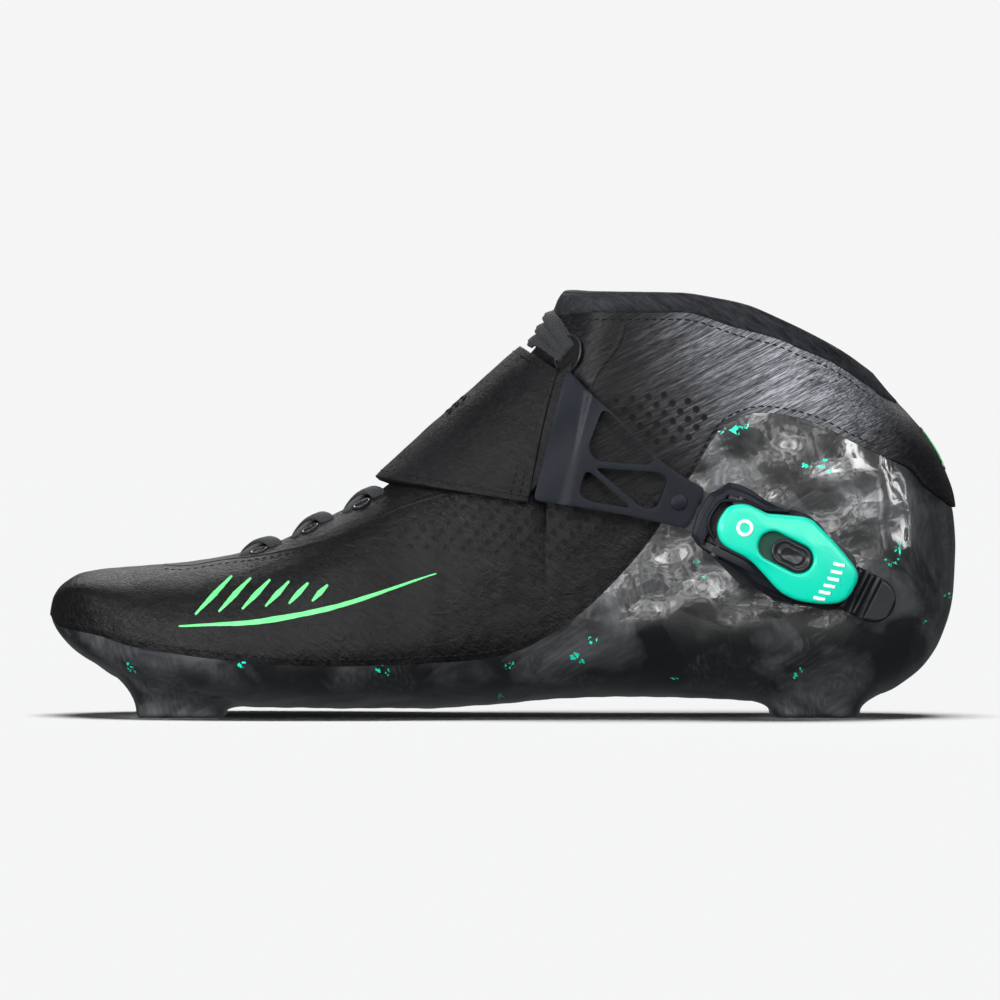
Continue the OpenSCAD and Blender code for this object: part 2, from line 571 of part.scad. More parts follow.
carbon_shell();
front_mount_block();
rear_mount_block();
front_threaded_insert();
rear_threaded_insert();
insole();
ankle_padding();
tongue();
vamp();
outer_ankle_panel();
inner_ankle_panel();
heel_tab();
collar_band();
eyelets();
laces();
strap_anchor();
anchor_rivets();
instep_strap();
strap_spreader();
ladder_strap();
spreader_rivet();
buckle_pad();
buckle_base();
buckle_screws();
buckle_tee_nuts();
buckle_lever();
lever_cover();
lever_pin();
lever_spring();
drive_pawl();
drive_pawl_pin();
hold_pawl();
hold_pawl_pin();
hold_pawl_spring();
release_button();
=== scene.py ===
"""Looks of the speed-skating boot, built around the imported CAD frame.

Lengths in the tables are millimetres; MM turns them into the scene's metres.
Toe at -X, heel at +X, the outer side with the buckle at -Y.
"""

import json
import math

import bmesh
import bpy
import numpy as np
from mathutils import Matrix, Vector
from mathutils.geometry import delaunay_2d_cdt

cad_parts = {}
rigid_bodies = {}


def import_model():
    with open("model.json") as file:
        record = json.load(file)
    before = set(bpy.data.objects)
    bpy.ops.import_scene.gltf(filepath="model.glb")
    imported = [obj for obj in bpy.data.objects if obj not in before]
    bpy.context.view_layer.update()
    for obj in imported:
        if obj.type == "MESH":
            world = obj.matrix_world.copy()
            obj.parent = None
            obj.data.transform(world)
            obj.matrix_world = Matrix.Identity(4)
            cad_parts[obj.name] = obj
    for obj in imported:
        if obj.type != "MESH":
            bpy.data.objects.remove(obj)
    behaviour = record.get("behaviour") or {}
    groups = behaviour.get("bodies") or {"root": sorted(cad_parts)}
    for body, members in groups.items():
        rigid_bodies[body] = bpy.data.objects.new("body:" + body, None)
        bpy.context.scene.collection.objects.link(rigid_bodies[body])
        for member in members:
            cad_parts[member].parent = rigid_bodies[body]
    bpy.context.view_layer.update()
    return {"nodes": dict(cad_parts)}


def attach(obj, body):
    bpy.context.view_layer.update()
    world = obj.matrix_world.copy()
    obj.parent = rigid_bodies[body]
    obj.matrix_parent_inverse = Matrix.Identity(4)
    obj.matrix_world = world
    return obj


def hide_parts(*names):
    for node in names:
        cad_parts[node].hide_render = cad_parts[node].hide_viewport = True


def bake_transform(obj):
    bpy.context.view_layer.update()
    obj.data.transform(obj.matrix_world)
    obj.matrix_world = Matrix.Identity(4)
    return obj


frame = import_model()

MM = 0.001
OUTER, INNER = -1, 1
SIDE_NAME = {OUTER: "outer", INNER: "inner"}
TOE_X, HEEL_X = -139.5, 142.5

# ---------------------------------------------------------------- profile of the boot, as [x, z] in mm
SOLE = [(-139.5, 31.5), (-138.5, 28.5), (-136, 24.5), (-131.5, 19.8), (-124, 15), (-117, 10.9), (-108, 7),
        (-98, 4.5), (-84, 3), (-52, 2.3), (-22, 2.3), (0, 3.6), (19, 5.3), (41, 5.9), (68, 5.2), (82, 4.5),
        (100, 4.2), (112, 5), (118, 6.4), (124, 9), (130.5, 13.6), (136, 20.5), (140, 30), (142, 41),
        (142.5, 52)]
INSTEP = [(-139.5, 31.5), (-138, 37.2), (-135, 41), (-130, 43.8), (-120, 45.4), (-100, 47), (-86, 49),
          (-70, 53.5), (-54, 61.3), (-46, 65.2), (-36, 70.8), (-20, 84.8), (-10, 94.4), (0, 103.4), (8, 111),
          (14, 118.5), (17, 124.5), (19.6, 132.5), (24, 150), (40, 220)]
COLLAR = [(16, 124), (19.6, 132.5), (28, 131.9), (56, 131.4), (67, 129.8), (77, 127.6), (87, 123.6),
          (97, 119), (107, 113.7), (116, 107.6)]
SEAM = [(16, 124), (31, 125.5), (56, 125.5), (75, 120.2), (85, 117.6), (93, 114.1), (103, 109.8),
        (112, 103.7), (118, 99.3), (123, 96.7)]
FEATHER = [(-139.5, 31.2), (-136, 28.1), (-124, 25.7), (-112, 22.2), (-100, 20.4), (-88, 18.9), (-52, 16.6),
           (-16, 17.7), (-3, 18.9), (7, 21.6), (20, 28.7), (27, 34), (40, 47), (48, 57), (59.6, 75.4),
           (69.4, 90.3), (76.6, 93.6), (81, 94.4), (89, 93.5), (99, 90.7), (108, 85.9), (118, 81.1),
           (127, 76.8), (132, 71.2), (138, 66.9), (142.5, 64)]
BACK = [(0, 127), (10, 133.5), (20, 138), (30, 140.8), (50, 142.5), (66, 141.3), (80, 136.7), (88, 131.6),
        (98, 122.8), (107.6, 116), (120, 108), (135, 99)]                      # as [z, x]
# half width, centre line and rounding, as [x, value] in mm
WIDTH_BEHIND = [(40, 34), (80, 33.5), (142.5, 33.5)]
WIDTH = {OUTER: [(-139.5, 36), (-110, 42), (-75, 46), (-40, 44), (0, 37.5)] + WIDTH_BEHIND,
         INNER: [(-139.5, 34), (-110, 42), (-75, 48), (-40, 45), (0, 36.5)] + WIDTH_BEHIND}
CENTRE = [(-139.5, 8), (-110, 5), (-70, 1.5), (-30, 0), (142.5, 0)]
TOP_ROUND = [(-139.5, 12), (-120, 24), (-100, 28), (-60, 38), (-20, 50), (20, 42), (60, 36), (142.5, 36)]
SOLE_ROUND = [(-139.5, 10), (-110, 15), (-60, 17), (0, 22), (60, 24), (142.5, 24)]
TOE_ROUND, HEEL_ROUND = 42, 30                 # lengths over which the toe and the heel are rounded
LEAST_TILT = 0.5                               # least cosine of the instep's slope in the top rounding
BLEND_POWER = 4.0                              # how tightly the roundings blend into each other
OPENING_FRONT, OPENING_BACK = 19.6, 116        # x of the ankle opening's ends
THROAT_X, THROAT_GAP = -84, 7                  # where the throat starts, and half its width


def curve(table, x):
    """Smooth curve through a table of points; the same rule as in the CAD source."""
    t = np.array(table, float)
    x = np.asarray(x, float)
    step = np.diff(t[:, 0])
    secant = np.diff(t[:, 1]) / step
    grade = np.empty(len(t))
    grade[0], grade[-1] = secant[0], secant[-1]
    a, b = secant[:-1], secant[1:]
    same = a * b > 0
    grade[1:-1] = np.where(same, 2 * a * b / np.where(same, a + b, 1), 0)
    i = np.clip(np.searchsorted(t[:, 0], x, side="right") - 1, 0, len(t) - 2)
    h = step[i]
    s = np.clip((x - t[i, 0]) / h, 0, 1)
    r = 1 - s
    return (t[i, 1] * (1 + 2 * s) * r * r + grade[i] * h * s * r * r
            + t[i + 1, 1] * s * s * (3 - 2 * s) - grade[i + 1] * h * s * s * r)


def halved(holds, yes, no, rounds=18):
    """Bisects arrays between a place where holds is true and one where it isn't."""
    for _ in range(rounds):
        mid = (yes + no) / 2
        true = holds(mid)
        yes, no = np.where(true, mid, yes), np.where(true, no, mid)
    return (yes + no) / 2


def tilt_cos(table, x):
    """Cosine of a table's slope at x, from half a mm to each side."""
    g = curve(table, np.asarray(x) + 0.5) - curve(table, np.asarray(x) - 0.5)
    return 1 / np.sqrt(1 + g * g)


def quarter(s):
    """Quarter circle: 0 at 0, rising to 1 at 1."""
    return np.sqrt(np.clip(1 - (1 - np.clip(s, 0, 1)) ** 2, 0, None))


def half_width(x, z, side):
    """Half width of the boot at (x, z)."""
    d = np.stack(np.broadcast_arrays(
        (curve(INSTEP, x) - z) * np.maximum(LEAST_TILT, tilt_cos(INSTEP, x)) / curve(TOP_ROUND, x),
        (z - curve(SOLE, x)) * tilt_cos(SOLE, x) / curve(SOLE_ROUND, x),
        (x - TOE_X) / TOE_ROUND,
        (curve(BACK, z) - x) / HEEL_ROUND))
    low = d.min(axis=0)
    soft = np.power(np.power(np.clip(d, 1e-4, None), -BLEND_POWER).sum(axis=0), -1 / BLEND_POWER)
    return curve(WIDTH[side], x) * quarter(np.where(low <= 0, 0, soft))


def back_height(x):
    """Height at which the heel's back reaches x."""
    z = np.linspace(52, 130, 1200)
    return np.interp(-np.asarray(x, float), -curve(BACK, z), z)


def top_z(x):
    """Top of the boot: the instep, then the collar, then the heel's back."""
    x = np.asarray(x, float)
    behind = np.where(x < OPENING_BACK, curve(COLLAR, x), back_height(x))
    return np.where(x < OPENING_FRONT, curve(INSTEP, x), behind)


def feather_z(x):
    """Line where the shell ends and the leather starts."""
    return np.minimum(top_z(x), np.maximum(curve(SOLE, x), curve(FEATHER, x)))


def seam_z(x):
    """Line where the collar starts."""
    return np.minimum(top_z(x), curve(SEAM, x))


def surface(x, z, side, lift=0.0):
    """Points on the boot's side at (x, z), lift mm off the surface, and their normals."""
    x, z = np.broadcast_arrays(np.asarray(x, float), np.asarray(z, float))
    w = half_width(x, z, side)
    e = 0.25
    wx = (half_width(x + e, z, side) - half_width(x - e, z, side)) / (2 * e)
    wz = (half_width(x, z + e, side) - half_width(x, z - e, side)) / (2 * e)
    cx = (curve(CENTRE, x + e) - curve(CENTRE, x - e)) / (2 * e)
    n = np.stack([-side * cx - wx, np.full_like(w, side), -wz], axis=-1)
    n /= np.linalg.norm(n, axis=-1, keepdims=True)
    p = np.stack([x, curve(CENTRE, x) + side * w, z], axis=-1)
    return p + n * np.asarray(lift)[..., None], n


def throat_z(x, gap, side=OUTER):
    """Height at which the upper is gap mm from its centre line, near the ridge."""
    x = np.asarray(x, float)
    ridge = curve(INSTEP, x)
    return halved(lambda z: half_width(x, z, side) > gap, ridge - 30, ridge)


def gap_at(x):
    """Half the throat's width at x; it opens over 20 mm."""
    return np.where(x < THROAT_X, 0, THROAT_GAP * np.clip(np.sqrt(np.clip(x - THROAT_X, 0, None) / 20), 0, 1))


def eyestay_z(x):
    """Top of the upper beside the throat."""
    return np.where(gap_at(x) < 0.1, top_z(x), throat_z(x, gap_at(x)))


# ---------------------------------------------------------------- camera, floor and light
VIEW_WIDTH = 0.309
VIEW_CENTRE = Vector((0.0006, 0.0, 0.0674))
LENS, SENSOR = 320, 36
CAMERA_RISE = 0.03                             # how far the camera stands above what it looks at
SCALE_PLANE_Y = -0.022                         # the picture is VIEW_WIDTH wide in this plane
BACKGROUND = (0.915, 0.915, 0.915, 1)
ROOM_COLOUR, ROOM_STRENGTH = (0.9, 0.95, 1.0, 1), 0.07
FLOOR_RADIUS, FLOOR_Z = 9, -0.0002
SUN_STRENGTH, SUN_ANGLE = 2.99, 31             # the sun that lights only the floor; the angle is in degrees


def aim(obj, place, target):
    """Stands a camera or a light at place, facing target."""
    obj.location = place
    obj.rotation_euler = (Vector(target) - Vector(place)).to_track_quat("-Z", "Y").to_euler()
    bpy.context.collection.objects.link(obj)


def make_camera():
    data = bpy.data.cameras.new("camera")
    data.lens = LENS
    data.sensor_width = SENSOR
    data.clip_end = 40
    cam = bpy.data.objects.new("camera", data)
    target = VIEW_CENTRE + Vector((0, SCALE_PLANE_Y, 0))
    aim(cam, (VIEW_CENTRE.x, SCALE_PLANE_Y - VIEW_WIDTH * LENS / SENSOR, VIEW_CENTRE.z + CAMERA_RISE), target)
    bpy.context.scene.camera = cam


class Graph:
    """The nodes of a light, the world or a material, made with short calls."""

    def __init__(self, owner):
        owner.use_nodes = True
        self.nodes = owner.node_tree.nodes
        self.links = owner.node_tree.links

    def node(self, kind, sockets=None, **settings):
        """A node with its settings; sockets says what to link to each input, or its value."""
        n = self.nodes.new("ShaderNode" + kind)
        for key, value in settings.items():
            setattr(n, key, value)
        for key, value in (sockets or {}).items():
            if hasattr(value, "links"):
                self.links.new(value, n.inputs[key])
            else:
                n.inputs[key].default_value = value
        return n

    def math(self, operation, a, b, clamp=False):
        return self.node("Math", {0: a, 1: b}, operation=operation, use_clamp=clamp).outputs[0]

    def distance(self, a, b):
        return self.node("VectorMath", {0: a, 1: b}, operation="DISTANCE").outputs["Value"]

    def map_range(self, value, start, end, low, high, kind="SMOOTHSTEP"):
        """Turns start to end into low to high."""
        sockets = {"Value": value, "From Min": start, "From Max": end, "To Min": low, "To Max": high}
        return self.node("MapRange", sockets, interpolation_type=kind).outputs["Result"]


def make_world():
    """Pale backdrop for the camera and a dimmer studio for the reflections."""
    world = bpy.data.worlds.new("studio")
    bpy.context.scene.world = world
    g = Graph(world)
    g.nodes.clear()
    room = g.node("Background", {"Color": ROOM_COLOUR, "Strength": ROOM_STRENGTH})
    seen = g.node("Background", {"Color": BACKGROUND})
    to_camera = g.node("LightPath").outputs["Is Camera Ray"]
    mix = g.node("MixShader", {"Fac": to_camera, 1: room.outputs[0], 2: seen.outputs[0]})
    g.node("OutputWorld", {"Surface": mix.outputs[0]})
    bpy.context.scene.view_settings.view_transform = "Standard"


def make_floor():
    mesh = bpy.data.meshes.new("floor")
    bm = bmesh.new()
    bmesh.ops.create_circle(bm, cap_ends=True, radius=FLOOR_RADIUS, segments=96)
    bm.to_mesh(mesh)
    bm.free()
    floor = bpy.data.objects.new("floor", mesh)
    floor.location.z = FLOOR_Z
    bpy.context.collection.objects.link(floor)
    mat = bpy.data.materials.new("studio_floor")
    mat.use_nodes = True
    bsdf = mat.node_tree.nodes["Principled BSDF"]
    bsdf.inputs["Base Color"].default_value = (0.9, 0.9, 0.9, 1)
    bsdf.inputs["Roughness"].default_value = 0.9
    bsdf.inputs["Specular IOR Level"].default_value = 0
    floor.data.materials.append(mat)
    floor.visible_glossy = False
    floor.visible_diffuse = False
    return floor


def cloud_pattern(light, seed, even_share):
    """Makes a softbox fade out to its edges, with soft clouds over it, so its mirror image looks smoky."""
    g = Graph(light.data)
    place = g.node("NewGeometry").outputs["Parametric"]
    fade = g.map_range(g.distance(place, (0.5, 0.5, 0)), 0.5, 0.12, 0.0, 1.0)
    cloud = g.node("TexNoise", {"Vector": place, "W": seed, "Scale": 4.0, "Detail": 3, "Roughness": 0.6,
                                "Distortion": 1.5}, noise_dimensions="4D").outputs["Fac"]
    clouds = g.map_range(cloud, 0.48, 0.62, even_share, 3.2, "LINEAR")
    g.links.new(g.math("MULTIPLY", fade, clouds), g.nodes["Emission"].inputs["Strength"])


# name, place, aim, size, power in watts, and the seed and even share of the clouds where it has them
SOFTBOXES = [
    ("top_box", (0.1, -0.2, 0.95), (0.02, 0, 0.05), (0.8, 0.4), 3.5, None),
    ("cloud_box", (0.3, -1.5, 0.56), (0.06, -0.03, 0.06), (2.4, 1.3), 38.0, (3.0, 0.04)),
    ("heel_box", (1.25, -0.75, 0.5), (0.1, -0.03, 0.06), (1.1, 1.0), 16.0, (8.0, 0.04)),
    ("front_box", (-0.8, -0.55, 0.45), (-0.08, 0, 0.04), (0.3, 0.6), 11.0, None),
    ("low_box", (-0.6, -1.2, 0.12), (-0.1, 0, 0.015), (0.8, 0.15), 9.0, None),
    ("mid_box", (-0.05, -1.4, 0.20), (0.0, 0, 0.04), (1.5, 0.5), 6.0, (12.0, 0.03)),
    ("far_box", (0.1, 0.9, 0.6), (0, 0, 0.06), (0.9, 0.35), 4.0, None),
]


def make_lights():
    """Softboxes for the boot; returns them with the sun that only lights the floor."""
    boxes = []
    for name, place, target, size, power, clouds in SOFTBOXES:
        data = bpy.data.lights.new(name, "AREA")
        data.shape = "RECTANGLE"
        data.size, data.size_y = size
        data.energy = power
        box = bpy.data.objects.new(name, data)
        aim(box, place, target)
        if clouds:
            cloud_pattern(box, *clouds)
        boxes.append(box)
    data = bpy.data.lights.new("floor_sun", "SUN")
    data.energy = SUN_STRENGTH
    data.angle = math.radians(SUN_ANGLE)
    sun = bpy.data.objects.new("floor_sun", data)
    bpy.context.collection.objects.link(sun)
    return boxes, sun


def link_lights(boxes, sun, floor):
    """The softboxes light the boot, and the sun lights only the floor."""
    boot_set = bpy.data.collections.new("lit_by_boxes")
    floor_set = bpy.data.collections.new("lit_by_sun")
    floor_set.objects.link(floor)
    for obj in bpy.data.objects:
        if obj.type == "MESH" and obj is not floor:
            boot_set.objects.link(obj)
    for box in boxes:
        box.light_linking.receiver_collection = boot_set
    sun.light_linking.receiver_collection = floor_set


# ---------------------------------------------------------------- materials
class MaterialGraph(Graph):
    """A material's nodes round its principled shader, whose inputs start at the given values."""

    def __init__(self, name, **values):
        self.mat = bpy.data.materials.new(name)
        super().__init__(self.mat)
        self.bsdf = self.nodes["Principled BSDF"]
        self.coord = self.nodes.new("ShaderNodeTexCoord").outputs["Object"]
        for key, value in values.items():
            self.bsdf.inputs[key.replace("_", " ")].default_value = value

    def mapped(self, scale=(1, 1, 1), turn=(0, 0, 0)):
        turned = self.node("Mapping", {"Vector": self.coord, "Rotation": turn}).outputs[0]
        return self.node("Mapping", {"Vector": turned, "Scale": scale}).outputs[0]

    def noise(self, scale, detail=3, rough=0.5, vector=None, distortion=0):
        return self.node("TexNoise", {"Vector": vector or self.coord, "Scale": scale, "Detail": detail,
                                      "Roughness": rough, "Distortion": distortion}).outputs["Fac"]

    def cells(self, scale, feature, vector, out="Distance"):
        return self.node("TexVoronoi", {"Vector": vector, "Scale": scale}, feature=feature).outputs[out]

    def ramp(self, value, stops):
        """Turns a value into greys or colours through (place, shade) stops."""
        n = self.node("ValToRGB", {"Fac": value})
        band = n.color_ramp
        while len(band.elements) < len(stops):
            band.elements.new(0.5)
        for element, (place, shade) in zip(band.elements, stops):
            element.position = place
            element.color = (*shade, 1) if isinstance(shade, tuple) else (shade, shade, shade, 1)
        return n.outputs["Color"]

    def mix(self, factor, a, b):
        a, b = ((*value, 1) if isinstance(value, tuple) else value for value in (a, b))
        return self.node("Mix", {"Factor": factor, 6: a, 7: b}, data_type="RGBA").outputs[2]

    def bump(self, height, strength, distance, below=None):
        sockets = {"Height": height, "Strength": strength, "Distance": distance}
        if below is not None:
            sockets["Normal"] = below
        return self.node("Bump", sockets).outputs[0]

    def finish(self, colour, roughness, normal):
        for socket, value in (("Base Color", colour), ("Roughness", roughness), ("Normal", normal)):
            self.links.new(value, self.bsdf.inputs[socket])
        return self.mat


def leather_material(name, dark=(0.001, 0.001, 0.0012), light=(0.0066, 0.0066, 0.0074), rough=(0.30, 0.46),
                     grain_scale=900, specular=0.16):
    """Fine-grain black leather: pebbled grain, pores, soft creases and worn, smoother high spots."""
    g = MaterialGraph(name, Specular_IOR_Level=specular, Sheen_Weight=0.004, Sheen_Roughness=0.5)
    slanted = g.mapped((0.55, 1, 1.3), (0, -0.6, 0))
    grain = g.cells(grain_scale, "DISTANCE_TO_EDGE", slanted)
    grain = g.ramp(grain, [(0.0, 0.0), (0.16, 1.0)])
    crackle = g.noise(330, 5, 0.7, g.mapped((0.4, 1.5, 2.2), (0, -0.6, 0)), 1.0)
    pores = g.noise(2600, 2)
    crease = g.noise(70, 4, 0.6, g.mapped((1, 1, 2.2), (0, 0.5, 0)), 0.8)
    patches = g.noise(26, 3)
    normal = None
    for height, strength, depth in ((grain, 0.38, 0.00012), (pores, 0.18, 0.00008), (crackle, 0.8, 0.0005),
                                    (crease, 0.45, 0.0012)):
        normal = g.bump(height, strength, depth, normal)
    worn = g.ramp(g.mix(0.65, patches, crackle), [(0.36, 0.0), (0.62, 1.0)])
    roughness = g.ramp(g.mix(0.35, patches, grain), [(0.25, rough[0]), (0.75, rough[1])])
    return g.finish(g.mix(worn, dark, light), roughness, normal)


def hairline_material():
    """Ankle leather with a brushed, hair-like finish running up towards the heel, and a painted highlight:
    the fibres turn much lighter round one spot high on the ankle.
    """
    g = MaterialGraph("hairline_leather", Specular_IOR_Level=0.11, Sheen_Weight=0.01, Sheen_Roughness=0.4)
    streak_turn = (0, math.radians(27), 0)
    long_fibres = g.noise(130, 4, 0.65, g.mapped((0.55, 3, 16), streak_turn), 0.25)
    short_fibres = g.noise(420, 3, 0.6, g.mapped((0.8, 3, 12), streak_turn), 0.1)
    both = g.mix(0.45, long_fibres, short_fibres)
    patches = g.noise(18, 2)
    own_colour = g.ramp(both, [(0.40, (0.003, 0.003, 0.0035)), (0.54, (0.009, 0.009, 0.010)),
                         (0.66, (0.024, 0.025, 0.027))])
    # lighter copy of the fibres, used only for the painted highlight
    highlight_colour = g.ramp(both, [(0.38, (0.006, 0.006, 0.007)), (0.50, (0.12, 0.123, 0.136)),
                          (0.60, (0.36, 0.37, 0.40))])
    flat = g.node("Mapping", {"Vector": g.coord, "Scale": (1, 0, 1)}).outputs[0]
    # painted highlight: a soft round patch at x 90 mm, z 112 mm, broken up by patches, where the fibres take
    # the lighter copy
    painted_highlight = g.map_range(g.distance(flat, (0.090, 0, 0.112)), 0.052, 0.008, 0.0, 1.0)
    painted_highlight = g.math("MULTIPLY", painted_highlight, g.ramp(patches, [(0.30, 0.3), (0.55, 1.0)]), True)
    roughness = g.ramp(both, [(0.35, 0.5), (0.65, 0.30)])
    return g.finish(g.mix(painted_highlight, own_colour, highlight_colour), roughness, g.bump(both, 0.5, 0.0004))


def carbon_material():
    """Forged carbon under a thick glossy coat: dim turned chips below clear resin waves."""
    g = MaterialGraph("forged_carbon", Coat_Weight=1.0, Coat_Roughness=0.05, Coat_IOR=1.7,
                      Specular_IOR_Level=0.35)
    warp = g.noise(30, 2)
    push = g.node("CombineXYZ", {axis: g.math("MULTIPLY", warp, much)
                                 for axis, much in (("X", 0.012), ("Y", 0.008), ("Z", -0.01))}).outputs[0]
    wobble = g.node("VectorMath", {0: g.coord, 1: push}, operation="ADD").outputs[0]
    chips = g.cells(75, "F1", wobble, "Color")
    chip_edge = g.cells(75, "DISTANCE_TO_EDGE", wobble)
    tone = g.node("SeparateColor", {"Color": chips}).outputs
    streaks = [g.noise(420, 2, 0.5, g.mapped(scale, turn))
               for scale, turn in (((0.25, 1, 2.5), (0, 0.6, 0)), ((2.5, 1, 0.25), (0, 0.2, 0)))]
    turned = g.mix(g.ramp(tone[1], [(0.44, 0.0), (0.56, 1.0)]), *streaks)
    cloud = g.noise(38, 3, 0.55, wobble)
    smoke = g.noise(34, 4, 0.55, g.mapped((0.8, 1, 1.0), (0, -0.5, 0)), 1.4)
    smoke = g.ramp(smoke, [(0.46, 0.0), (0.66, 1.0)])
    # painted shade: the grey smoke thins to 0.8 of itself towards the sole, so the shell reads darker low
    # down
    height = g.node("SeparateXYZ", {"Vector": g.coord}).outputs["Z"]
    upper = g.map_range(height, 0.022, 0.05, 0.8, 1.0)
    smoke = g.math("MULTIPLY", g.math("MULTIPLY", smoke, upper), g.math("ADD", turned, 0.25), True)
    shade = g.math("MULTIPLY", g.mix(0.5, tone[0], cloud), g.math("ADD", turned, 0.1), True)
    body = g.ramp(shade, [(0.10, (0.0015, 0.0017, 0.002)), (0.40, (0.006, 0.0065, 0.007)),
                          (0.62, (0.030, 0.032, 0.034))])
    body = g.mix(smoke, body, (0.085, 0.088, 0.095))
    roughness = g.ramp(tone[2], [(0.2, 0.28), (0.8, 0.5)])
    chip_bump = g.bump(g.ramp(chip_edge, [(0.0, 0.0), (0.12, 1.0)]), 0.10, 0.0004)
    normal = g.bump(turned, 0.10, 0.0002, chip_bump)
    resin = g.bump(g.noise(80, 2, 0.5, g.mapped((1, 1, 1.4), (0, 0.3, 0)), 0.8), 0.14, 0.0012)
    resin = g.bump(g.cells(62, "F1", wobble), 0.10, 0.004, resin)
    resin = g.bump(g.noise(22, 1, 0.5, wobble, 0.6), 0.5, 0.005, resin)
    g.links.new(resin, g.bsdf.inputs["Coat Normal"])
    return g.finish(body, roughness, normal)


def plastic_material(name, colour, rough, grain_scale=1700, depth=0.00008, edge=None, coat=0.0,
                     specular=0.22):
    """Moulded plastic with a spark-eroded grain and slightly rubbed patches."""
    g = MaterialGraph(name, Specular_IOR_Level=specular, Coat_Weight=coat, Coat_Roughness=0.04)
    grain = g.noise(grain_scale, 3, 0.6)
    patches = g.noise(55, 3)
    lighter = edge or tuple(min(1, c * 1.35) for c in colour)
    shade = g.mix(g.ramp(patches, [(0.35, 0.0), (0.75, 1.0)]), colour, lighter)
    roughness = g.ramp(patches, [(0.3, rough[0]), (0.7, rough[1])])
    return g.finish(shade, roughness, g.bump(grain, 0.3, depth))


def steel_material():
    g = MaterialGraph("brushed_steel", Metallic=1.0)
    lines = g.noise(900, 2, 0.5, g.mapped((1, 8, 8)))
    colour = g.mix(lines, (0.42, 0.43, 0.45), (0.62, 0.63, 0.65))
    return g.finish(colour, g.ramp(lines, [(0.3, 0.22), (0.7, 0.4)]), g.bump(lines, 0.15, 0.00005))


def textile_material(name, colour, weave_scale=850, bright=1.6, sheen=0.25):
    """Knitted lining: two crossed waves as yarns, with lint."""
    g = MaterialGraph(name, Specular_IOR_Level=0.2, Sheen_Weight=sheen, Sheen_Roughness=0.5)
    yarns = [g.node("TexWave", {"Vector": g.mapped(turn=(0, 0.78, 0.4)), "Scale": weave_scale / 4,
                                "Distortion": 0.4}, wave_type="BANDS", bands_direction=way).outputs["Fac"]
             for way in ("X", "Z")]
    weave = g.math("MULTIPLY", *yarns)
    lint = g.noise(300, 4)
    lit = tuple(min(1, c * bright) for c in colour)
    shade = g.mix(g.mix(0.4, weave, lint), colour, lit)
    return g.finish(shade, g.ramp(lint, [(0.3, 0.7), (0.7, 0.95)]), g.bump(weave, 0.5, 0.0003))


def paint_material(name, colour, rough):
    """Printed ink with a slightly worn, broken surface."""
    g = MaterialGraph(name, Specular_IOR_Level=0.5)
    wear = g.noise(700, 4, 0.6)
    worn = tuple(c * 0.72 for c in colour)
    shade = g.mix(g.ramp(wear, [(0.35, 0.0), (0.7, 1.0)]), worn, colour)
    roughness = g.ramp(wear, [(0.3, rough - 0.08), (0.7, rough + 0.12)])
    return g.finish(shade, roughness, g.bump(wear, 0.2, 0.00008))


def thread_material():
    g = MaterialGraph("black_thread", Specular_IOR_Level=0.15, Sheen_Weight=0.02)
    way = g.mapped(turn=(0, 0.6, 0))
    twist = g.node("TexWave", {"Vector": way, "Scale": 900, "Distortion": 1.0}).outputs["Fac"]
    return g.finish(g.mix(twist, (0.001, 0.001, 0.0012), (0.006, 0.006, 0.007)),
                    g.ramp(twist, [(0, 0.45), (1, 0.65)]), g.bump(twist, 0.4, 0.0001))


LOOK = {
    "leather": leather_material("black_leather"),
    "collar": leather_material("collar_leather", (0.003, 0.003, 0.004), (0.028, 0.030, 0.035),
                               (0.5, 0.7), 620, 0.1),
    "strap_leather": leather_material("strap_leather", (0.002, 0.002, 0.0024), (0.0095, 0.0095, 0.0105),
                                      (0.40, 0.56), 900, 0.12),
    "hairline": hairline_material(),
    "carbon": carbon_material(),
    "spreader": plastic_material("slate_plastic", (0.0055, 0.0070, 0.0105), (0.34, 0.48), specular=0.10),
    "plastic": plastic_material("black_plastic", (0.006, 0.0068, 0.0085), (0.3, 0.44)),
    "gloss_black": plastic_material("gloss_black", (0.012, 0.013, 0.015), (0.16, 0.28), 900, 0.00003),
    "green": plastic_material("green_gloss", (0.001, 0.47, 0.32), (0.26, 0.38), 700, 0.00003,
                              (0.002, 0.51, 0.35), 0.15),
    # dark green: painted shade on the floor of the cover's window
    "shaded_window_green": plastic_material("shaded_window_green", (0.003, 0.045, 0.028), (0.35, 0.5), 400, 0.00002,
                                     (0.005, 0.07, 0.042)),
    "chip": plastic_material("green_chip", (0.006, 0.60, 0.38), (0.2, 0.35), 500, 0.0001,
                             (0.012, 0.78, 0.52), 1.0),
    "white": paint_material("white_ink", (0.85, 0.88, 0.87), 0.3),
    "lime": paint_material("green_ink", (0.13, 0.70, 0.22), 0.42),
    "steel": steel_material(),
    "lining": textile_material("lining", (0.020, 0.020, 0.022)),
    "braid": textile_material("lace_braid", (0.010, 0.0105, 0.012), 1500, 3.0, 0.08),
    "thread": thread_material(),
    # near-black: painted shade inside the punched holes and the eyelets
    "hole": plastic_material("painted_hole_shade", (0.002, 0.002, 0.002), (0.8, 0.9)),
}



# ---------------------------------------------------------------- mesh helpers
def shade_smooth(obj):
    obj.data.polygons.foreach_set("use_smooth", [True] * len(obj.data.polygons))


def new_piece(name, points, faces, look, body, smooth=True):
    """A mesh from points in mm; it rides on a body of the frame."""
    mesh = bpy.data.meshes.new(name)
    mesh.from_pydata((np.asarray(points) * MM).tolist(), [], faces)
    mesh.materials.append(LOOK[look])
    mesh.update()
    obj = bpy.data.objects.new(name, mesh)
    bpy.context.collection.objects.link(obj)
    if smooth:
        shade_smooth(obj)
    if body:
        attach(obj, body)
    return obj


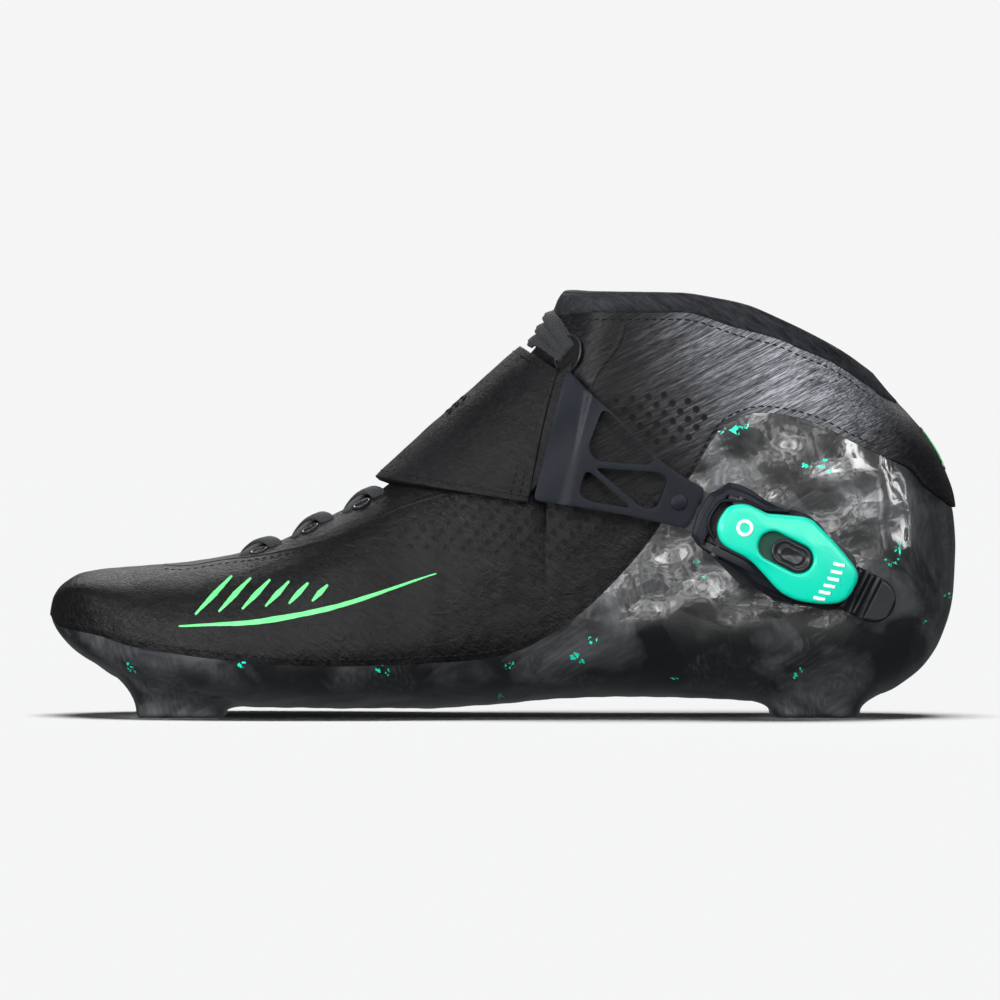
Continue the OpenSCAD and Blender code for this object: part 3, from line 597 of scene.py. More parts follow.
def apply_modifier(obj, kind, **settings):
    """Adds a modifier and applies it at once."""
    mod = obj.modifiers.new(kind.lower(), kind)
    for key, value in settings.items():
        setattr(mod, key, value)
    with bpy.context.temp_override(object=obj, active_object=obj, selected_objects=[obj]):
        bpy.ops.object.modifier_apply(modifier=mod.name)
    return obj


def edit_mesh(mesh, change):
    """Runs change on a bmesh copy of a mesh and writes it back."""
    bm = bmesh.new()
    bm.from_mesh(mesh)
    change(bm)
    bm.to_mesh(mesh)
    bm.free()


def merge_close(obj):
    """Joins points that lie at one place and removes faces without area."""
    distance = 0.00002

    def merge(bm):
        bmesh.ops.remove_doubles(bm, verts=bm.verts, dist=distance)
        bmesh.ops.dissolve_degenerate(bm, edges=bm.edges, dist=distance / 4)
    edit_mesh(obj.data, merge)


def outward(obj):
    """Faces of a closed piece turned outwards."""
    edit_mesh(obj.data, lambda bm: bmesh.ops.recalc_face_normals(bm, faces=bm.faces))


def face_along(obj, axis, sign=1):
    """Faces of an open sheet turned to look along an axis (0, 1 or 2), or against it with sign -1."""
    if sum(f.normal[axis] * f.area for f in obj.data.polygons) * sign < 0:
        obj.data.flip_normals()


def soften_edges(obj, width, segments, angle):
    """Rounds the edges where faces meet at more than angle, width mm wide."""
    apply_modifier(obj, "BEVEL", width=width * MM, segments=segments, limit_method="ANGLE",
                   angle_limit=math.radians(angle), harden_normals=False, use_clamp_overlap=True)
    shade_smooth(obj)


def smooth_by_angle(obj, angle):
    """Sharp edges where faces meet at more than angle, smooth shading elsewhere."""
    shade_smooth(obj)
    obj.data.set_sharp_from_angle(angle=math.radians(angle))


def grid_faces(rows, cols, start=0, flip=False):
    """Quads between the points of an open grid."""
    faces = []
    for i in range(rows - 1):
        for j in range(cols - 1):
            a = start + i * cols + j
            b = a + cols
            quad = (a, b, b + 1, a + 1)
            faces.append(quad[::-1] if flip else quad)
    return faces


def loft_faces(rings, n, start=0, closed=False, whole=True, caps=False):
    """Quads between rings of n points.

    closed joins the last ring to the first, whole joins each ring's ends, and caps fills the end rings.
    """
    faces = [(start + i * n + j, start + i * n + (j + 1) % n,
              start + (i + 1) % rings * n + (j + 1) % n, start + (i + 1) % rings * n + j)
             for i in range(rings if closed else rings - 1) for j in range(n if whole else n - 1)]
    if caps:
        faces += [tuple(range(n))[::-1], tuple(range((rings - 1) * n, rings * n))]
    return faces


def ripple(points, depth, length, seed=0.0):
    """A smooth, repeatable unevenness: three crossed waves, in mm."""
    x, y, z = points[..., 0], points[..., 1], points[..., 2]
    k = 2 * math.pi / length
    return depth * (np.sin(k * (x + 0.4 * z) + seed) * np.cos(k * 0.8 * z + 1.3 * seed)
                    + 0.6 * np.sin(k * 1.7 * (z - 0.5 * x) + 2.1 + seed) * np.sin(k * 1.1 * y + 0.7)
                    + 0.4 * np.sin(k * 2.9 * (x + 0.2 * y) + 4.0 + seed))


def circle(n):
    """n angles evenly round a circle."""
    return np.linspace(0, 2 * math.pi, n, endpoint=False)


def even(n):
    return np.linspace(0, 1, n + 1)


def both_ends(n):
    """n steps from 0 to 1, finer towards both ends."""
    return (1 - np.cos(np.pi * even(n))) / 2


# how a sheet's rows are spread between its lower and upper line
EASE = {"even": lambda v: v, "ridge": lambda v: 1 - (1 - v) ** 2, "sole": lambda v: v ** 2}


POINT_WIDTH = 0.3                              # half widths below this count as the centre line


def skin(name, look, lower, upper, t, rows, lift, wall, sides=(OUTER, INNER), ease="even",
         shut_top=None, shut_bottom=False, wave=None):
    """A sheet on the boot's surface between two lines, given a wall.

    lower and upper turn t (0 to 1) into (x, z). lift is the height off the surface, or a function of x, z and
    the share of the way up. shut_top says where, by x, the two sides meet at the top.
    """
    v = EASE[ease](even(rows))
    (x0, z0), (x1, z1) = lower(t), upper(t)
    x = x0[:, None] + (x1 - x0)[:, None] * v[None, :]
    z = z0[:, None] + (z1 - z0)[:, None] * v[None, :]
    points, faces = [], []
    for side in sides:
        base, normal = surface(x, z, side)
        height = np.full(x.shape, float(lift)) if not callable(lift) else lift(x, z, v[None, :] + 0 * x)
        if wave:
            height = height + ripple(base, *wave)
        p = base + normal * height[..., None]
        centre = curve(CENTRE, x)
        if shut_top is not None:
            where = shut_top(x1)
            p[where, -1, 1] = centre[where, -1]
        if shut_bottom:
            p[:, 0, 1] = centre[:, 0]
        for end in (0, -1):
            near = half_width(x[end], z[end], side) < POINT_WIDTH
            p[end, near, 1] = centre[end, near]
            if near.all():                     # the sheet ends in one point at the toe or heel
                away = height[end].mean() * (1 if end else -1)
                p[end] = [x[end, 0] + away, centre[end, 0], z[end].mean()]
        start = sum(len(q) for q in points)
        points.append(p.reshape(-1, 3))
        faces += grid_faces(len(t), rows + 1, start, flip=side == INNER)
    obj = new_piece(name, np.concatenate(points), faces, look, "boot")
    merge_close(obj)
    apply_modifier(obj, "SOLIDIFY", thickness=wall * MM, offset=-1, use_even_offset=False)
    smooth_by_angle(obj, 55)
    return obj


def line(table, start, end, shift=0.0):
    """Turns t into (x, z) along a height table, from x=start to x=end."""
    def at(t):
        x = start + (end - start) * t
        return x, (table(x) if callable(table) else curve(table, x)) + shift
    return at


def travelled(points):
    """Length of the path up to each of its points."""
    return np.concatenate([[0], np.cumsum(np.linalg.norm(np.diff(points, axis=0), axis=1))])


def along(points, n):
    """n points evenly spaced by length along a polyline, smoothed."""
    p = np.asarray(points, float)
    d = travelled(p)
    s = np.linspace(0, d[-1], n)
    return np.stack([curve(np.stack([d, p[:, k]], axis=1), s) for k in range(p.shape[1])], axis=1)


def path_length(points):
    return float(np.linalg.norm(np.diff(np.asarray(points, float), axis=0), axis=1).sum())


def beside(path):
    """Directions square to a flat path, to its left."""
    d = np.gradient(path, axis=0)
    d /= np.linalg.norm(d, axis=1, keepdims=True)
    return np.stack([-d[:, 1], d[:, 0]], axis=1)


def frames_along(places, normals):
    """Tangent and sideways directions at each place."""
    tangent = np.gradient(places, axis=0)
    tangent /= np.linalg.norm(tangent, axis=1, keepdims=True)
    sideways = np.cross(normals, tangent)
    sideways /= np.linalg.norm(sideways, axis=1, keepdims=True)
    return tangent, sideways


def lens_shape():
    """Unit stitch: a rounded rod along x, as points and faces."""
    rings, sides = 4, 6
    points, faces = [(-0.5, 0, 0)], []
    for i in range(1, rings):
        a = math.pi * i / rings
        for k in range(sides):
            b = 2 * math.pi * k / sides
            points.append((-0.5 * math.cos(a), 0.5 * math.sin(a) ** 0.5 * math.cos(b),
                           0.5 * math.sin(a) ** 0.5 * math.sin(b)))
    points.append((0.5, 0, 0))
    last = len(points) - 1
    for k in range(sides):
        n = (k + 1) % sides
        faces.append((0, 1 + n, 1 + k))
        for i in range(rings - 2):
            a, b = 1 + i * sides + k, 1 + i * sides + n
            faces.append((a, b, b + sides, a + sides))
        faces.append((last, last - sides + k, last - sides + n))
    return np.array(points), faces


STITCH_SINK = 0.1                              # how deep a stitch's middle lies in the leather


def stitches(name, rows, pitch, length, width, body="boot"):
    """Rows of stitches; each row is (places, normals) along the seam."""
    shape, shape_faces = lens_shape()
    points, faces = [], []
    for places, normals in rows:
        n = max(2, int(path_length(places) / pitch))
        d = travelled(places)
        s = (np.arange(n) + 0.5) * d[-1] / n
        at = np.stack([np.interp(s, d, places[:, k]) for k in range(3)], axis=1)
        up = np.stack([np.interp(s, d, normals[:, k]) for k in range(3)], axis=1)
        up /= np.linalg.norm(up, axis=1, keepdims=True)
        along_seam, sideways = frames_along(at, up)
        for p, tangent, side, normal in zip(at, along_seam, sideways, up):
            start = len(points) * len(shape)
            points.append(p - normal * STITCH_SINK + shape[:, :1] * length * tangent
                          + shape[:, 1:2] * width * side + shape[:, 2:] * width * 0.8 * normal)
            faces += [tuple(start + i for i in f) for f in shape_faces]
    return new_piece(name, np.concatenate(points), faces, "thread", body)


# ---------------------------------------------------------------- shell and mounts
SHELL_WALL = 2.6
SHELL_WAVE = (0.17, 26, 0.4)                   # depth, length and seed of its unevenness
BOLT_X = 97.5                                  # of each mounting bolt, fore and aft of the middle
BOLT_HOLE_R = 4.6


def cut(obj, cutter):
    """Takes a cutter away from a piece and removes the cutter."""
    apply_modifier(obj, "BOOLEAN", object=cutter, operation="DIFFERENCE", solver="EXACT")
    bpy.data.objects.remove(cutter)


def rod(radius, low, high, x):
    """Upright cylinder used as a cutter."""
    sides = 48
    a = circle(sides)
    ring = np.stack([x + radius * np.cos(a), radius * np.sin(a)], axis=1)
    points = np.concatenate([np.c_[ring, np.full(sides, low)], np.c_[ring, np.full(sides, high)]])
    return new_piece("cutter", points, loft_faces(2, sides, caps=True), "carbon", None, smooth=False)


def make_shell():
    """Wavy hand-laid shell, its rows closer together towards the sole, with the mounting bolts' holes cut
    through it.
    """
    obj = skin("shell", "carbon", line(SOLE, TOE_X, HEEL_X), line(feather_z, TOE_X, HEEL_X), both_ends(200),
               56, lift=0.0, wall=SHELL_WALL, ease="sole", shut_bottom=True, shut_top=lambda x: x > 141.0,
               wave=SHELL_WAVE)
    for x in (-BOLT_X, BOLT_X):
        cut(obj, rod(BOLT_HOLE_R, -2, 13, x))
    shade_smooth(obj)
    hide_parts("carbon_shell")


def superellipse(half_x, half_y, n, power=4.5):
    """Outline of a rounded rectangle."""
    c, s = np.cos(circle(n)), np.sin(circle(n))
    r = (np.abs(c) ** power + np.abs(s) ** power) ** (-1 / power)
    return np.stack([half_x * r * c, half_y * r * s], axis=1)


def sole_z(x, y):
    """Height of the underside of the boot at (x, y)."""
    def wide(z):
        reach = np.where(y < 0, half_width(x, z, OUTER), half_width(x, z, INNER))
        return reach > np.abs(y - curve(CENTRE, x))
    lowest = curve(SOLE, x)
    return halved(wide, lowest + 26, lowest)


def make_block(name, node, centre_x, bolt_x):
    """Carbon pedestal with a rounded foot, flared into the sole, and its bore."""
    n = 120
    foot_x, foot_y, foot_z, spread = 14.0, 18.0, 1.3, 8.0
    points = []
    for inset, z in ((1.4, 0.0), (0.6, 0.12), (0.15, 0.5), (0.0, foot_z)):
        ring = superellipse(foot_x - inset, foot_y - inset, n)
        points.append(np.c_[ring[:, 0] + centre_x, ring[:, 1], np.full(n, z)])
    for turn in np.linspace(0.15, math.pi / 2, 9):
        out = spread * (1 - math.cos(turn))
        ring = superellipse(foot_x + out, foot_y + out, n)
        x = ring[:, 0] + centre_x
        under = sole_z(x, ring[:, 1])
        points.append(np.c_[x, ring[:, 1], foot_z + (under + 0.1 - foot_z) * math.sin(turn)])
    ring = superellipse(foot_x + spread - 0.6, foot_y + spread - 0.6, n)
    x = ring[:, 0] + centre_x
    points.append(np.c_[x, ring[:, 1], sole_z(x, ring[:, 1]) + 1.0])
    for r, z in ((4.6, 8.4), (4.5, 8.2), (4.5, 0.4), (4.9, 0.0)):      # the bore
        points.append(np.c_[bolt_x + r * np.cos(circle(n)), r * np.sin(circle(n)), np.full(n, z)])
    faces = loft_faces(len(points), n, closed=True)
    obj = new_piece(name, np.concatenate(points), faces, "carbon", "boot")
    smooth_by_angle(obj, 50)
    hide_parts(node)


# ---------------------------------------------------------------- leather upper
RISE = 0.55                                    # of the leather over the shell
PANEL_X = 27.4                                 # where the vamp ends and the ankle panels start
UPPER_WAVE = (0.08, 21, 2.0)


def hemmed(x, z, v):
    """Leather lies RISE over the shell and rolls down to it at its lower hem."""
    return RISE * np.clip(v * 18, 0.35, 1)


def vamp_top(x):
    """Upper edge of the vamp: the throat's edge, and the collar's seam behind it."""
    return np.where(x > 15.5, np.minimum(seam_z(x) - 0.2, eyestay_z(x)), eyestay_z(x))


def join(*pieces):
    """Several tables of t ranges as one list of stations."""
    return np.unique(np.concatenate(pieces))


def relook(obj, look, where):
    """A second look on the faces whose middle, in metres, is where says."""
    obj.data.materials.append(LOOK[look])
    for face in obj.data.polygons:
        if where(face.center):
            face.material_index = 1


def make_vamp():
    """Leather over the toe and the instep, with the hairline finish in its upper back corner."""
    t = join(0.42 * both_ends(56), 0.42 + 0.58 * even(150))
    hem = line(feather_z, TOE_X, PANEL_X, 0.1)
    obj = skin("vamp_leather", "leather", hem, line(vamp_top, TOE_X, PANEL_X), t, 56,
               lift=hemmed, wall=1.7, ease="ridge", shut_top=lambda x: x < THROAT_X + 0.01,
               wave=UPPER_WAVE)
    relook(obj, "hairline", lambda c: c.x > 0.008 and c.z > 0.066)
    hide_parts("vamp")


def make_panels():
    """Leather at the ankle, one panel a side; the hairline finish ends at a slanted line."""
    back = 113.5
    for side, name in SIDE_NAME.items():
        obj = skin(f"{name}_ankle_leather", "hairline", line(feather_z, PANEL_X, back, 0.1),
                   line(seam_z, PANEL_X, back, 0.8), even(120), 34, lift=hemmed, wall=1.5, sides=(side,),
                   wave=UPPER_WAVE)
        relook(obj, "leather", lambda c: c.z < 0.066 + (c.x - 0.027) * 0.2)
        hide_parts(f"{name}_ankle_panel")


def make_heel_tab():
    """Leather round the back of the heel."""
    def upper(x):
        return np.where(x < 123.4, seam_z(x) + 0.8, top_z(x))

    def lift(x, z, v):
        return RISE * np.clip(v * 12, 0.35, 1) + 0.03 + 0.4 * np.clip((x - 112) / 14, 0, 1)
    front, back = 111.2, 141.3
    t = 1 - (1 - even(70)) ** 2
    obj = skin("heel_leather", "hairline", line(feather_z, front, back, 0.1), line(upper, front, back), t, 34,
               lift=lift, wall=1.5, shut_top=lambda x: x > 123.6, wave=UPPER_WAVE)
    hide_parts("heel_tab")


def level(directions):
    """The level part of each direction, at unit length."""
    flat = directions * [1, 1, 0]
    return flat / np.linalg.norm(flat, axis=1, keepdims=True)


ROLL_R, ROLL_RISE = 2.1, 1.2                   # radius and height of the rolled edge
COLLAR_EDGE = 0.35                             # height of the padding at its edges
COLLAR_INSIDE = [(1.0, 4.9), (3.0, 5.4), (6.0, 5.3), (9.0, 4.4)]   # depth below the edge, way in


def make_collar():
    """Soft padded band round the ankle opening, rolled over at its top edge and down the inside."""
    start, end, rows = 17.6, 122.8, 30
    t = join(even(120), 0.95 + 0.05 * even(12))
    x = start + (end - start) * t
    v = even(rows)
    points, faces = [], []
    for side in (OUTER, INNER):
        lo = seam_z(x) - 0.4
        hi = np.where(x < 24, np.minimum(top_z(x), np.maximum(lo + 0.3, eyestay_z(x) + 1.0)), top_z(x))
        hi = hi - 1.2 * np.clip((end - x) / 6, 0.004, 1)
        hi = np.maximum(hi, lo + 0.2)
        z = lo[:, None] + (hi - lo)[:, None] * v[None, :]
        puff = 0.95 * np.sqrt(np.clip(4 * v * (1 - v), 0, 1))[None, :] + COLLAR_EDGE
        base, normal = surface(x[:, None], z, side)
        outer = base + normal * (puff + ripple(base, 0.06, 15))[..., None]
        out = level(normal[:, -1])
        middle = base[:, -1] - out * ROLL_R
        up = np.array([0, 0, ROLL_RISE])
        over = [middle + out * (ROLL_R + COLLAR_EDGE) * math.cos(a) + up * math.sin(a)
                for a in np.linspace(0.15, math.pi, 12)]
        for depth, way_in in COLLAR_INSIDE:
            below, facing = surface(x, hi - depth, side)
            over.append(below - level(facing) * way_in)
        p = np.concatenate([outer, np.stack(over, axis=1)], axis=1)
        centre = curve(CENTRE, x)[:, None]
        p[..., 1] = np.where((p[..., 1] - centre) * side < 0, centre, p[..., 1])
        first = sum(len(q) for q in points)
        points.append(p.reshape(-1, 3))
        faces += grid_faces(len(x), p.shape[1], first, flip=side == INNER)
    obj = new_piece("collar_padding", np.concatenate(points), faces, "collar", "boot")
    merge_close(obj)
    apply_modifier(obj, "SOLIDIFY", thickness=0.6 * MM, offset=-1, use_even_offset=False)
    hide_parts("collar_band")


def make_lining():
    """Knitted lining inside the upper, from the insole to the collar."""
    def upper(x):
        return np.where(x < 24, np.minimum(top_z(x), eyestay_z(x)) - 3, top_z(x) - 5)
    obj = skin("lining", "lining", line(lambda x: 0 * x + 17.0, 14, 121), line(upper, 14, 121), even(90), 30,
               lift=-4.1, wall=0.8, wave=(0.15, 13, 5.0))


def make_insole():
    """Foot-shaped foam plate with a raised rim that deepens to a heel cup."""
    x = -116 + 236 * both_ends(90)
    z = np.maximum(12.4, curve(SOLE, x) + 7)
    across = np.linspace(-1, 1, 25)
    a, b = (curve(CENTRE, x) + side * np.maximum(half_width(x, z, side) - SHELL_WALL - 2.2, 0.5)
            for side in (OUTER, INNER))
    y = a[:, None] + (b - a)[:, None] * (across[None, :] + 1) / 2
    cup = 1.2 * across[None, :] ** 4 * (0.4 + 0.6 * np.clip((x[:, None] + 20) / 80, 0, 1))
    top = np.stack([np.repeat(x[:, None], 25, 1), y, z[:, None] + 2.6 + cup], axis=-1)
    obj = new_piece("insole_pad", top.reshape(-1, 3), grid_faces(len(x), 25, flip=True), "lining", "boot")
    face_along(obj, 2)
    apply_modifier(obj, "SOLIDIFY", thickness=2.4 * MM, offset=-1)
    soften_edges(obj, 0.8, 2, 40)
    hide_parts("insole")


def make_tongue():
    """Padded tongue under the laces, with a rounded free end at the top."""
    front, length, half, depth = -78, 96, 14.5, 2.9
    x = front + length * even(110)
    along_v = np.linspace(-1, 1, 29)
    rows = []
    for v in along_v:
        side = OUTER if v < 0 else INNER
        reach = abs(v) * half
        z = throat_z(x, np.maximum(reach, 0.05), side) - (depth - 0.5 * (1 - v * v))
        rows.append(np.stack([x, curve(CENTRE, x) + side * reach, z], axis=1))
    p = np.stack(rows, axis=1)
    taper = np.clip((x - front) / 6, 0, 1)[:, None]
    p[..., 2] -= (1 - taper) * 0.6
    p += ripple(p, 0.12, 16)[..., None] * np.array([0, 0, 1])
    faces = grid_faces(len(x), len(along_v), flip=True)
    obj = new_piece("tongue_pad", p.reshape(-1, 3), faces, "leather", "boot")
    face_along(obj, 2)
    apply_modifier(obj, "SOLIDIFY", thickness=2.6 * MM, offset=-1)
    soften_edges(obj, 0.9, 3, 40)
    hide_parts("tongue")


def make_ankle_pads():
    """Foam pads either side of the ankle, inflated by a short cloth simulation."""
    for side, name in SIDE_NAME.items():
        obj = skin(f"{name}_ankle_pad", "lining", line(feather_z, 46, 104, 4), line(seam_z, 46, 104, -4),
                   even(30), 18, lift=-4.6, wall=2.4, sides=(side,))
        puff_up(obj)
        if side == OUTER:
            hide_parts("ankle_padding")


MOST_PUFF = 1.6                                # how far the cloth may move a point
CLOTH_FRAMES = 12


def puff_up(obj):
    """Blender's Cloth under pressure, with each point's move capped, then applied."""
    apply_modifier(obj, "REMESH", mode="VOXEL", voxel_size=0.0022)
    rest = np.array([v.co for v in obj.data.vertices])
    mod = obj.modifiers.new("cloth", "CLOTH")
    mod.settings.use_pressure = True
    mod.settings.uniform_pressure_force = 4
    mod.settings.quality = 4
    mod.settings.effector_weights.gravity = 0
    scene = bpy.context.scene
    for frame_number in range(1, CLOTH_FRAMES + 1):
        scene.frame_set(frame_number)
    seen = obj.evaluated_get(bpy.context.evaluated_depsgraph_get())
    moved = np.array([v.co for v in seen.data.vertices])
    obj.modifiers.remove(mod)
    scene.frame_set(1)
    step = moved - rest
    size = np.linalg.norm(step, axis=1, keepdims=True)
    step *= np.minimum(1, MOST_PUFF * MM / np.maximum(size, 1e-9))
    obj.data.vertices.foreach_set("co", (rest + step).astype(np.float32).ravel())
    apply_modifier(obj, "SUBSURF", levels=1)
    shade_smooth(obj)


# ---------------------------------------------------------------- instep strap and laces
# the strap lies on an arch: the height of its axis, its radius, and the strap's thickness
ARCH_AXIS, STRAP_R, STRAP_T = 41.5, 39.6, 2.2
INSTEP_S, INSTEP_E = np.array([0.743, 0, 0.669]), np.array([-0.669, 0, 0.743])   # along the arch, and up


def arch_height(arc, r=STRAP_R):
    """Height over the arch's axis direction after arc mm from the crest."""
    turn = np.clip(np.abs(arc) / STRAP_R, 0, math.pi / 2)
    return ARCH_AXIS + r * np.cos(turn) - np.maximum(np.abs(arc) - STRAP_R * math.pi / 2, 0)


def arch_points(s, arc, r=STRAP_R):
    """Places on the arch and their outward directions; arc is negative on the outer side."""
    s, arc, r = np.broadcast_arrays(s, arc, np.asarray(r, float))
    turn = np.clip(arc / STRAP_R, -math.pi / 2, math.pi / 2)
    e = arch_height(arc, r)
    p = s[..., None] * INSTEP_S + e[..., None] * INSTEP_E
    p[..., 1] = r * np.sin(turn)
    n = np.cos(turn)[..., None] * INSTEP_E
    n[..., 1] = np.sin(turn)
    return p, n


CREST_FRONT, CREST_BACK = 21.4, 82.2           # the strap's edges at the arch's crest


def strap_edges(arc):
    """Front and back edges of the strap, as s, at an arc position."""
    drop = ARCH_AXIS + STRAP_R - arch_height(arc)
    outer = arc < 0
    front = CREST_FRONT + np.where(outer, 30.1 * drop / 37.8, 16.6 * drop / 37.1)
    back = CREST_BACK + np.where(outer, 3.4 * np.minimum(drop / 13.5, 1), -16.2 * drop / 37.1)
    return front, back


# arc length from the crest to the strap's ends
OUTER_FRONT_ARC, OUTER_BACK_ARC, INNER_ARC = -60.4, -33.7, 59.7


def strap_grid(n_along, n_across):
    """s and arc over the strap; the outer end slants from its front corner to its back corner."""
    t = np.linspace(-1, 1, n_along)[:, None]
    v = np.linspace(0, 1, n_across)[None, :]
    end = OUTER_FRONT_ARC + (OUTER_BACK_ARC - OUTER_FRONT_ARC) * v
    arc = np.where(t < 0, -t * end, t * INNER_ARC)
    front_arc = np.where(t < 0, -t * OUTER_FRONT_ARC, t * INNER_ARC)
    back_arc = np.where(t < 0, -t * OUTER_BACK_ARC, t * INNER_ARC)
    front, back = strap_edges(front_arc)[0], strap_edges(back_arc)[1]
    return front + (back - front) * v, arc


def strap_row(fixed, value, start=0.0, stop=1.0):
    """A seam line on the strap: places and normals where t or v stays at a value (0 to 1)."""
    n, steps, cross_steps = 120, 240, 60
    s, arc = strap_grid(steps + 1, cross_steps + 1)
    move = np.linspace(start, stop, n)
    if fixed == "v":
        i, j = move * steps, np.full(n, value * cross_steps)
    else:
        i, j = np.full(n, value * steps), move * cross_steps
    low_i = np.floor(i).astype(int).clip(0, steps - 1)
    low_j = np.floor(j).astype(int).clip(0, cross_steps - 1)
    a, b = i - low_i, j - low_j

    def pick(f):
        return ((1 - a) * (1 - b) * f[low_i, low_j] + a * (1 - b) * f[low_i + 1, low_j]
                + (1 - a) * b * f[low_i, low_j + 1] + a * b * f[low_i + 1, low_j + 1])
    return arch_points(pick(s), pick(arc), STRAP_R + 0.25)


def make_strap():
    """Instep strap: fixed on the inner side, drawn by the ladder on the outer side."""
    rows, cols = 150, 56
    s, arc = strap_grid(rows, cols)
    v = np.linspace(0, 1, cols)[None, :]
    r = STRAP_R + 0.3 * np.sqrt(np.clip(4 * v * (1 - v), 0, 1)) + 0 * arc
    p, n = arch_points(s, arc, r)
    p = p + n * ripple(p, 0.11, 23, 1.7)[..., None]
    obj = new_piece("instep_strap_leather", p.reshape(-1, 3), grid_faces(rows, cols), "strap_leather", None)
    face_along(obj, 2)
    apply_modifier(obj, "SOLIDIFY", thickness=STRAP_T * MM, offset=-1)
    soften_edges(obj, 0.55, 3, 50)
    seam_lines = [strap_row("v", 0.045), strap_row("t", 0.021, start=0.05, stop=0.96),
                  strap_row("t", 0.040, start=0.05, stop=0.96), strap_row("v", 0.955, start=0.02, stop=0.96),
                  strap_row("t", 0.975, start=0.05, stop=0.96)]
    seams = stitches("instep_strap_stitches", seam_lines, pitch=2.3, length=1.8, width=0.5, body=None)
    mark = embroidery()
    make_strap_tab()
    for piece in (obj, seams, mark):
        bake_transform(piece)
    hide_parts("instep_strap")


def make_strap_tab():
    """Leather under the strap's outer edge, that joins it to the spreader."""
    tab_s = np.linspace(0, 1, 16)[None, :]
    tab_arc = np.linspace(-58.5, -34, 24)[:, None]
    v = (tab_arc - OUTER_FRONT_ARC) / (OUTER_BACK_ARC - OUTER_FRONT_ARC)
    edge = 51.5 + 34.1 * np.clip(v, -0.05, 1.02)
    tp, _ = arch_points(edge - 5 + 12 * tab_s + 0 * tab_arc, tab_arc + 0 * tab_s, STRAP_R - 0.9)
    tab = new_piece("strap_tab", tp.reshape(-1, 3), grid_faces(24, 16, flip=True), "strap_leather", "strap")
    apply_modifier(tab, "SOLIDIFY", thickness=1.2 * MM, offset=0)


def embroidery():
    """Plain raised satin-stitch chevrons near the crest of the strap."""
    rows = []
    for k in range(3):
        s0 = 51.5 + 3.0 * k
        s = np.array([s0, s0 + 1.4, s0 + 0.3])
        arc = np.array([-4.0, -6.6, -9.4])
        line_s, line_arc = along(np.stack([s, arc], axis=1), 14).T
        for shift in (-0.3, 0.0, 0.3):
            rows.append(arch_points(line_s + shift, line_arc, STRAP_R + 0.55))
    return stitches("strap_embroidery", rows, pitch=1.3, length=1.6, width=0.55, body=None)


LACE_X = [-74, -58, -42, -26, -10, 1]
LACE_REACH = 11.5                              # of each lace to either side of the centre line
HIDDEN_LACES = 4                               # laces from this one on lie under the strap


def ribbon(name, centre, up, width, thick, look="braid", nubs=0.0, pitch=1.5):
    """Flat cord along a path: a rounded section, with the braid's nubs."""
    n, sides = len(centre), 16
    tangent, sideways = frames_along(centre, up)
    up = np.cross(tangent, sideways)
    a = circle(sides)
    c, s = np.cos(a), np.sin(a)
    wide = np.sign(c) * np.abs(c) ** 0.8 * width / 2
    high = np.sign(s) * np.abs(s) ** 0.9 * thick / 2
    turn = 2 * math.pi * travelled(centre)[:, None] / pitch
    nub = 1 + nubs * np.sin(turn + 3 * a[None, :]) * np.cos(turn - 3 * a[None, :])
    p = (centre[:, None, :] + (wide * nub)[..., None] * sideways[:, None, :]
         + (high * (2 * nub - 1))[..., None] * up[:, None, :])
    obj = new_piece(name, p.reshape(-1, 3), loft_faces(n, sides, caps=True), look, "boot")
    outward(obj)
    return obj


def over_ridge(x_from, x_to, lift):
    """A line across the throat from the outer side to the inner side, lift mm proud."""
    n = 70
    v = np.linspace(0, 1, n)
    x = x_from + (x_to - x_from) * v
    y = -LACE_REACH + 2 * LACE_REACH * v
    z = np.empty(n)
    for side in (OUTER, INNER):
        on = (y < 0) if side == OUTER else (y >= 0)
        z[on] = throat_z(x[on], np.maximum(np.abs(y[on]), 0.05), side)
    rise = lift * np.sin(np.pi * v) ** 0.5
    return np.stack([x, curve(CENTRE, x) + y, z + rise], axis=1)


def make_laces():
    """Two crossing laces at each pair of eyelets, and one where the strap hides them."""
    for i, x in enumerate(LACE_X):
        for k, (lean, lift) in enumerate(((5.2, 1.1), (-5.2, 2.5))):
            if i >= HIDDEN_LACES and k:
                continue
            places = over_ridge(x - lean, x + lean, lift if i < HIDDEN_LACES else 1.2)
            slope = -(curve(INSTEP, x + 0.5) - curve(INSTEP, x - 0.5))
            up = np.tile(np.array([slope, 0, 1]) / math.hypot(slope, 1), (len(places), 1))
            ribbon(f"lace_{i}_{k}", places, up, 4.6, 1.5, nubs=0.07, pitch=2.4)
    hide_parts("laces")
    make_top_lace()


def make_top_lace():
    """Lace folded three times over the tongue and down through the top hole on each side."""
    for k, (shift, lift) in enumerate(((0.0, 1.9), (3.3, 3.0), (6.4, 2.2))):
        hole = (21.0 + 0.35 * shift, 111.6 + 0.4 * shift)
        bend = (16.4 + 0.5 * shift, 115.2 + 0.95 * shift)
        ridge_x = 11.2 + 0.78 * shift
        top = np.array([ridge_x, 0, curve(INSTEP, ridge_x) + 2.0])
        halves = []
        for side in (OUTER, INNER):
            low = surface([hole[0]], [hole[1]], side, np.array([0.4]))[0][0]
            high = surface([bend[0]], [bend[1]], side, np.array([lift]))[0][0]
            halves.append([low, high, (top + high) / 2 + np.array([-0.8, 0, 1.0])])
        places = along(np.array(halves[0] + [top] + halves[1][::-1]), 130)
        up = places - np.array([30, 0, 96])
        up /= np.linalg.norm(up, axis=1, keepdims=True)
        ribbon(f"top_lace_{k}", places, up, 4.7, 2.7, nubs=0.13, pitch=2.0)


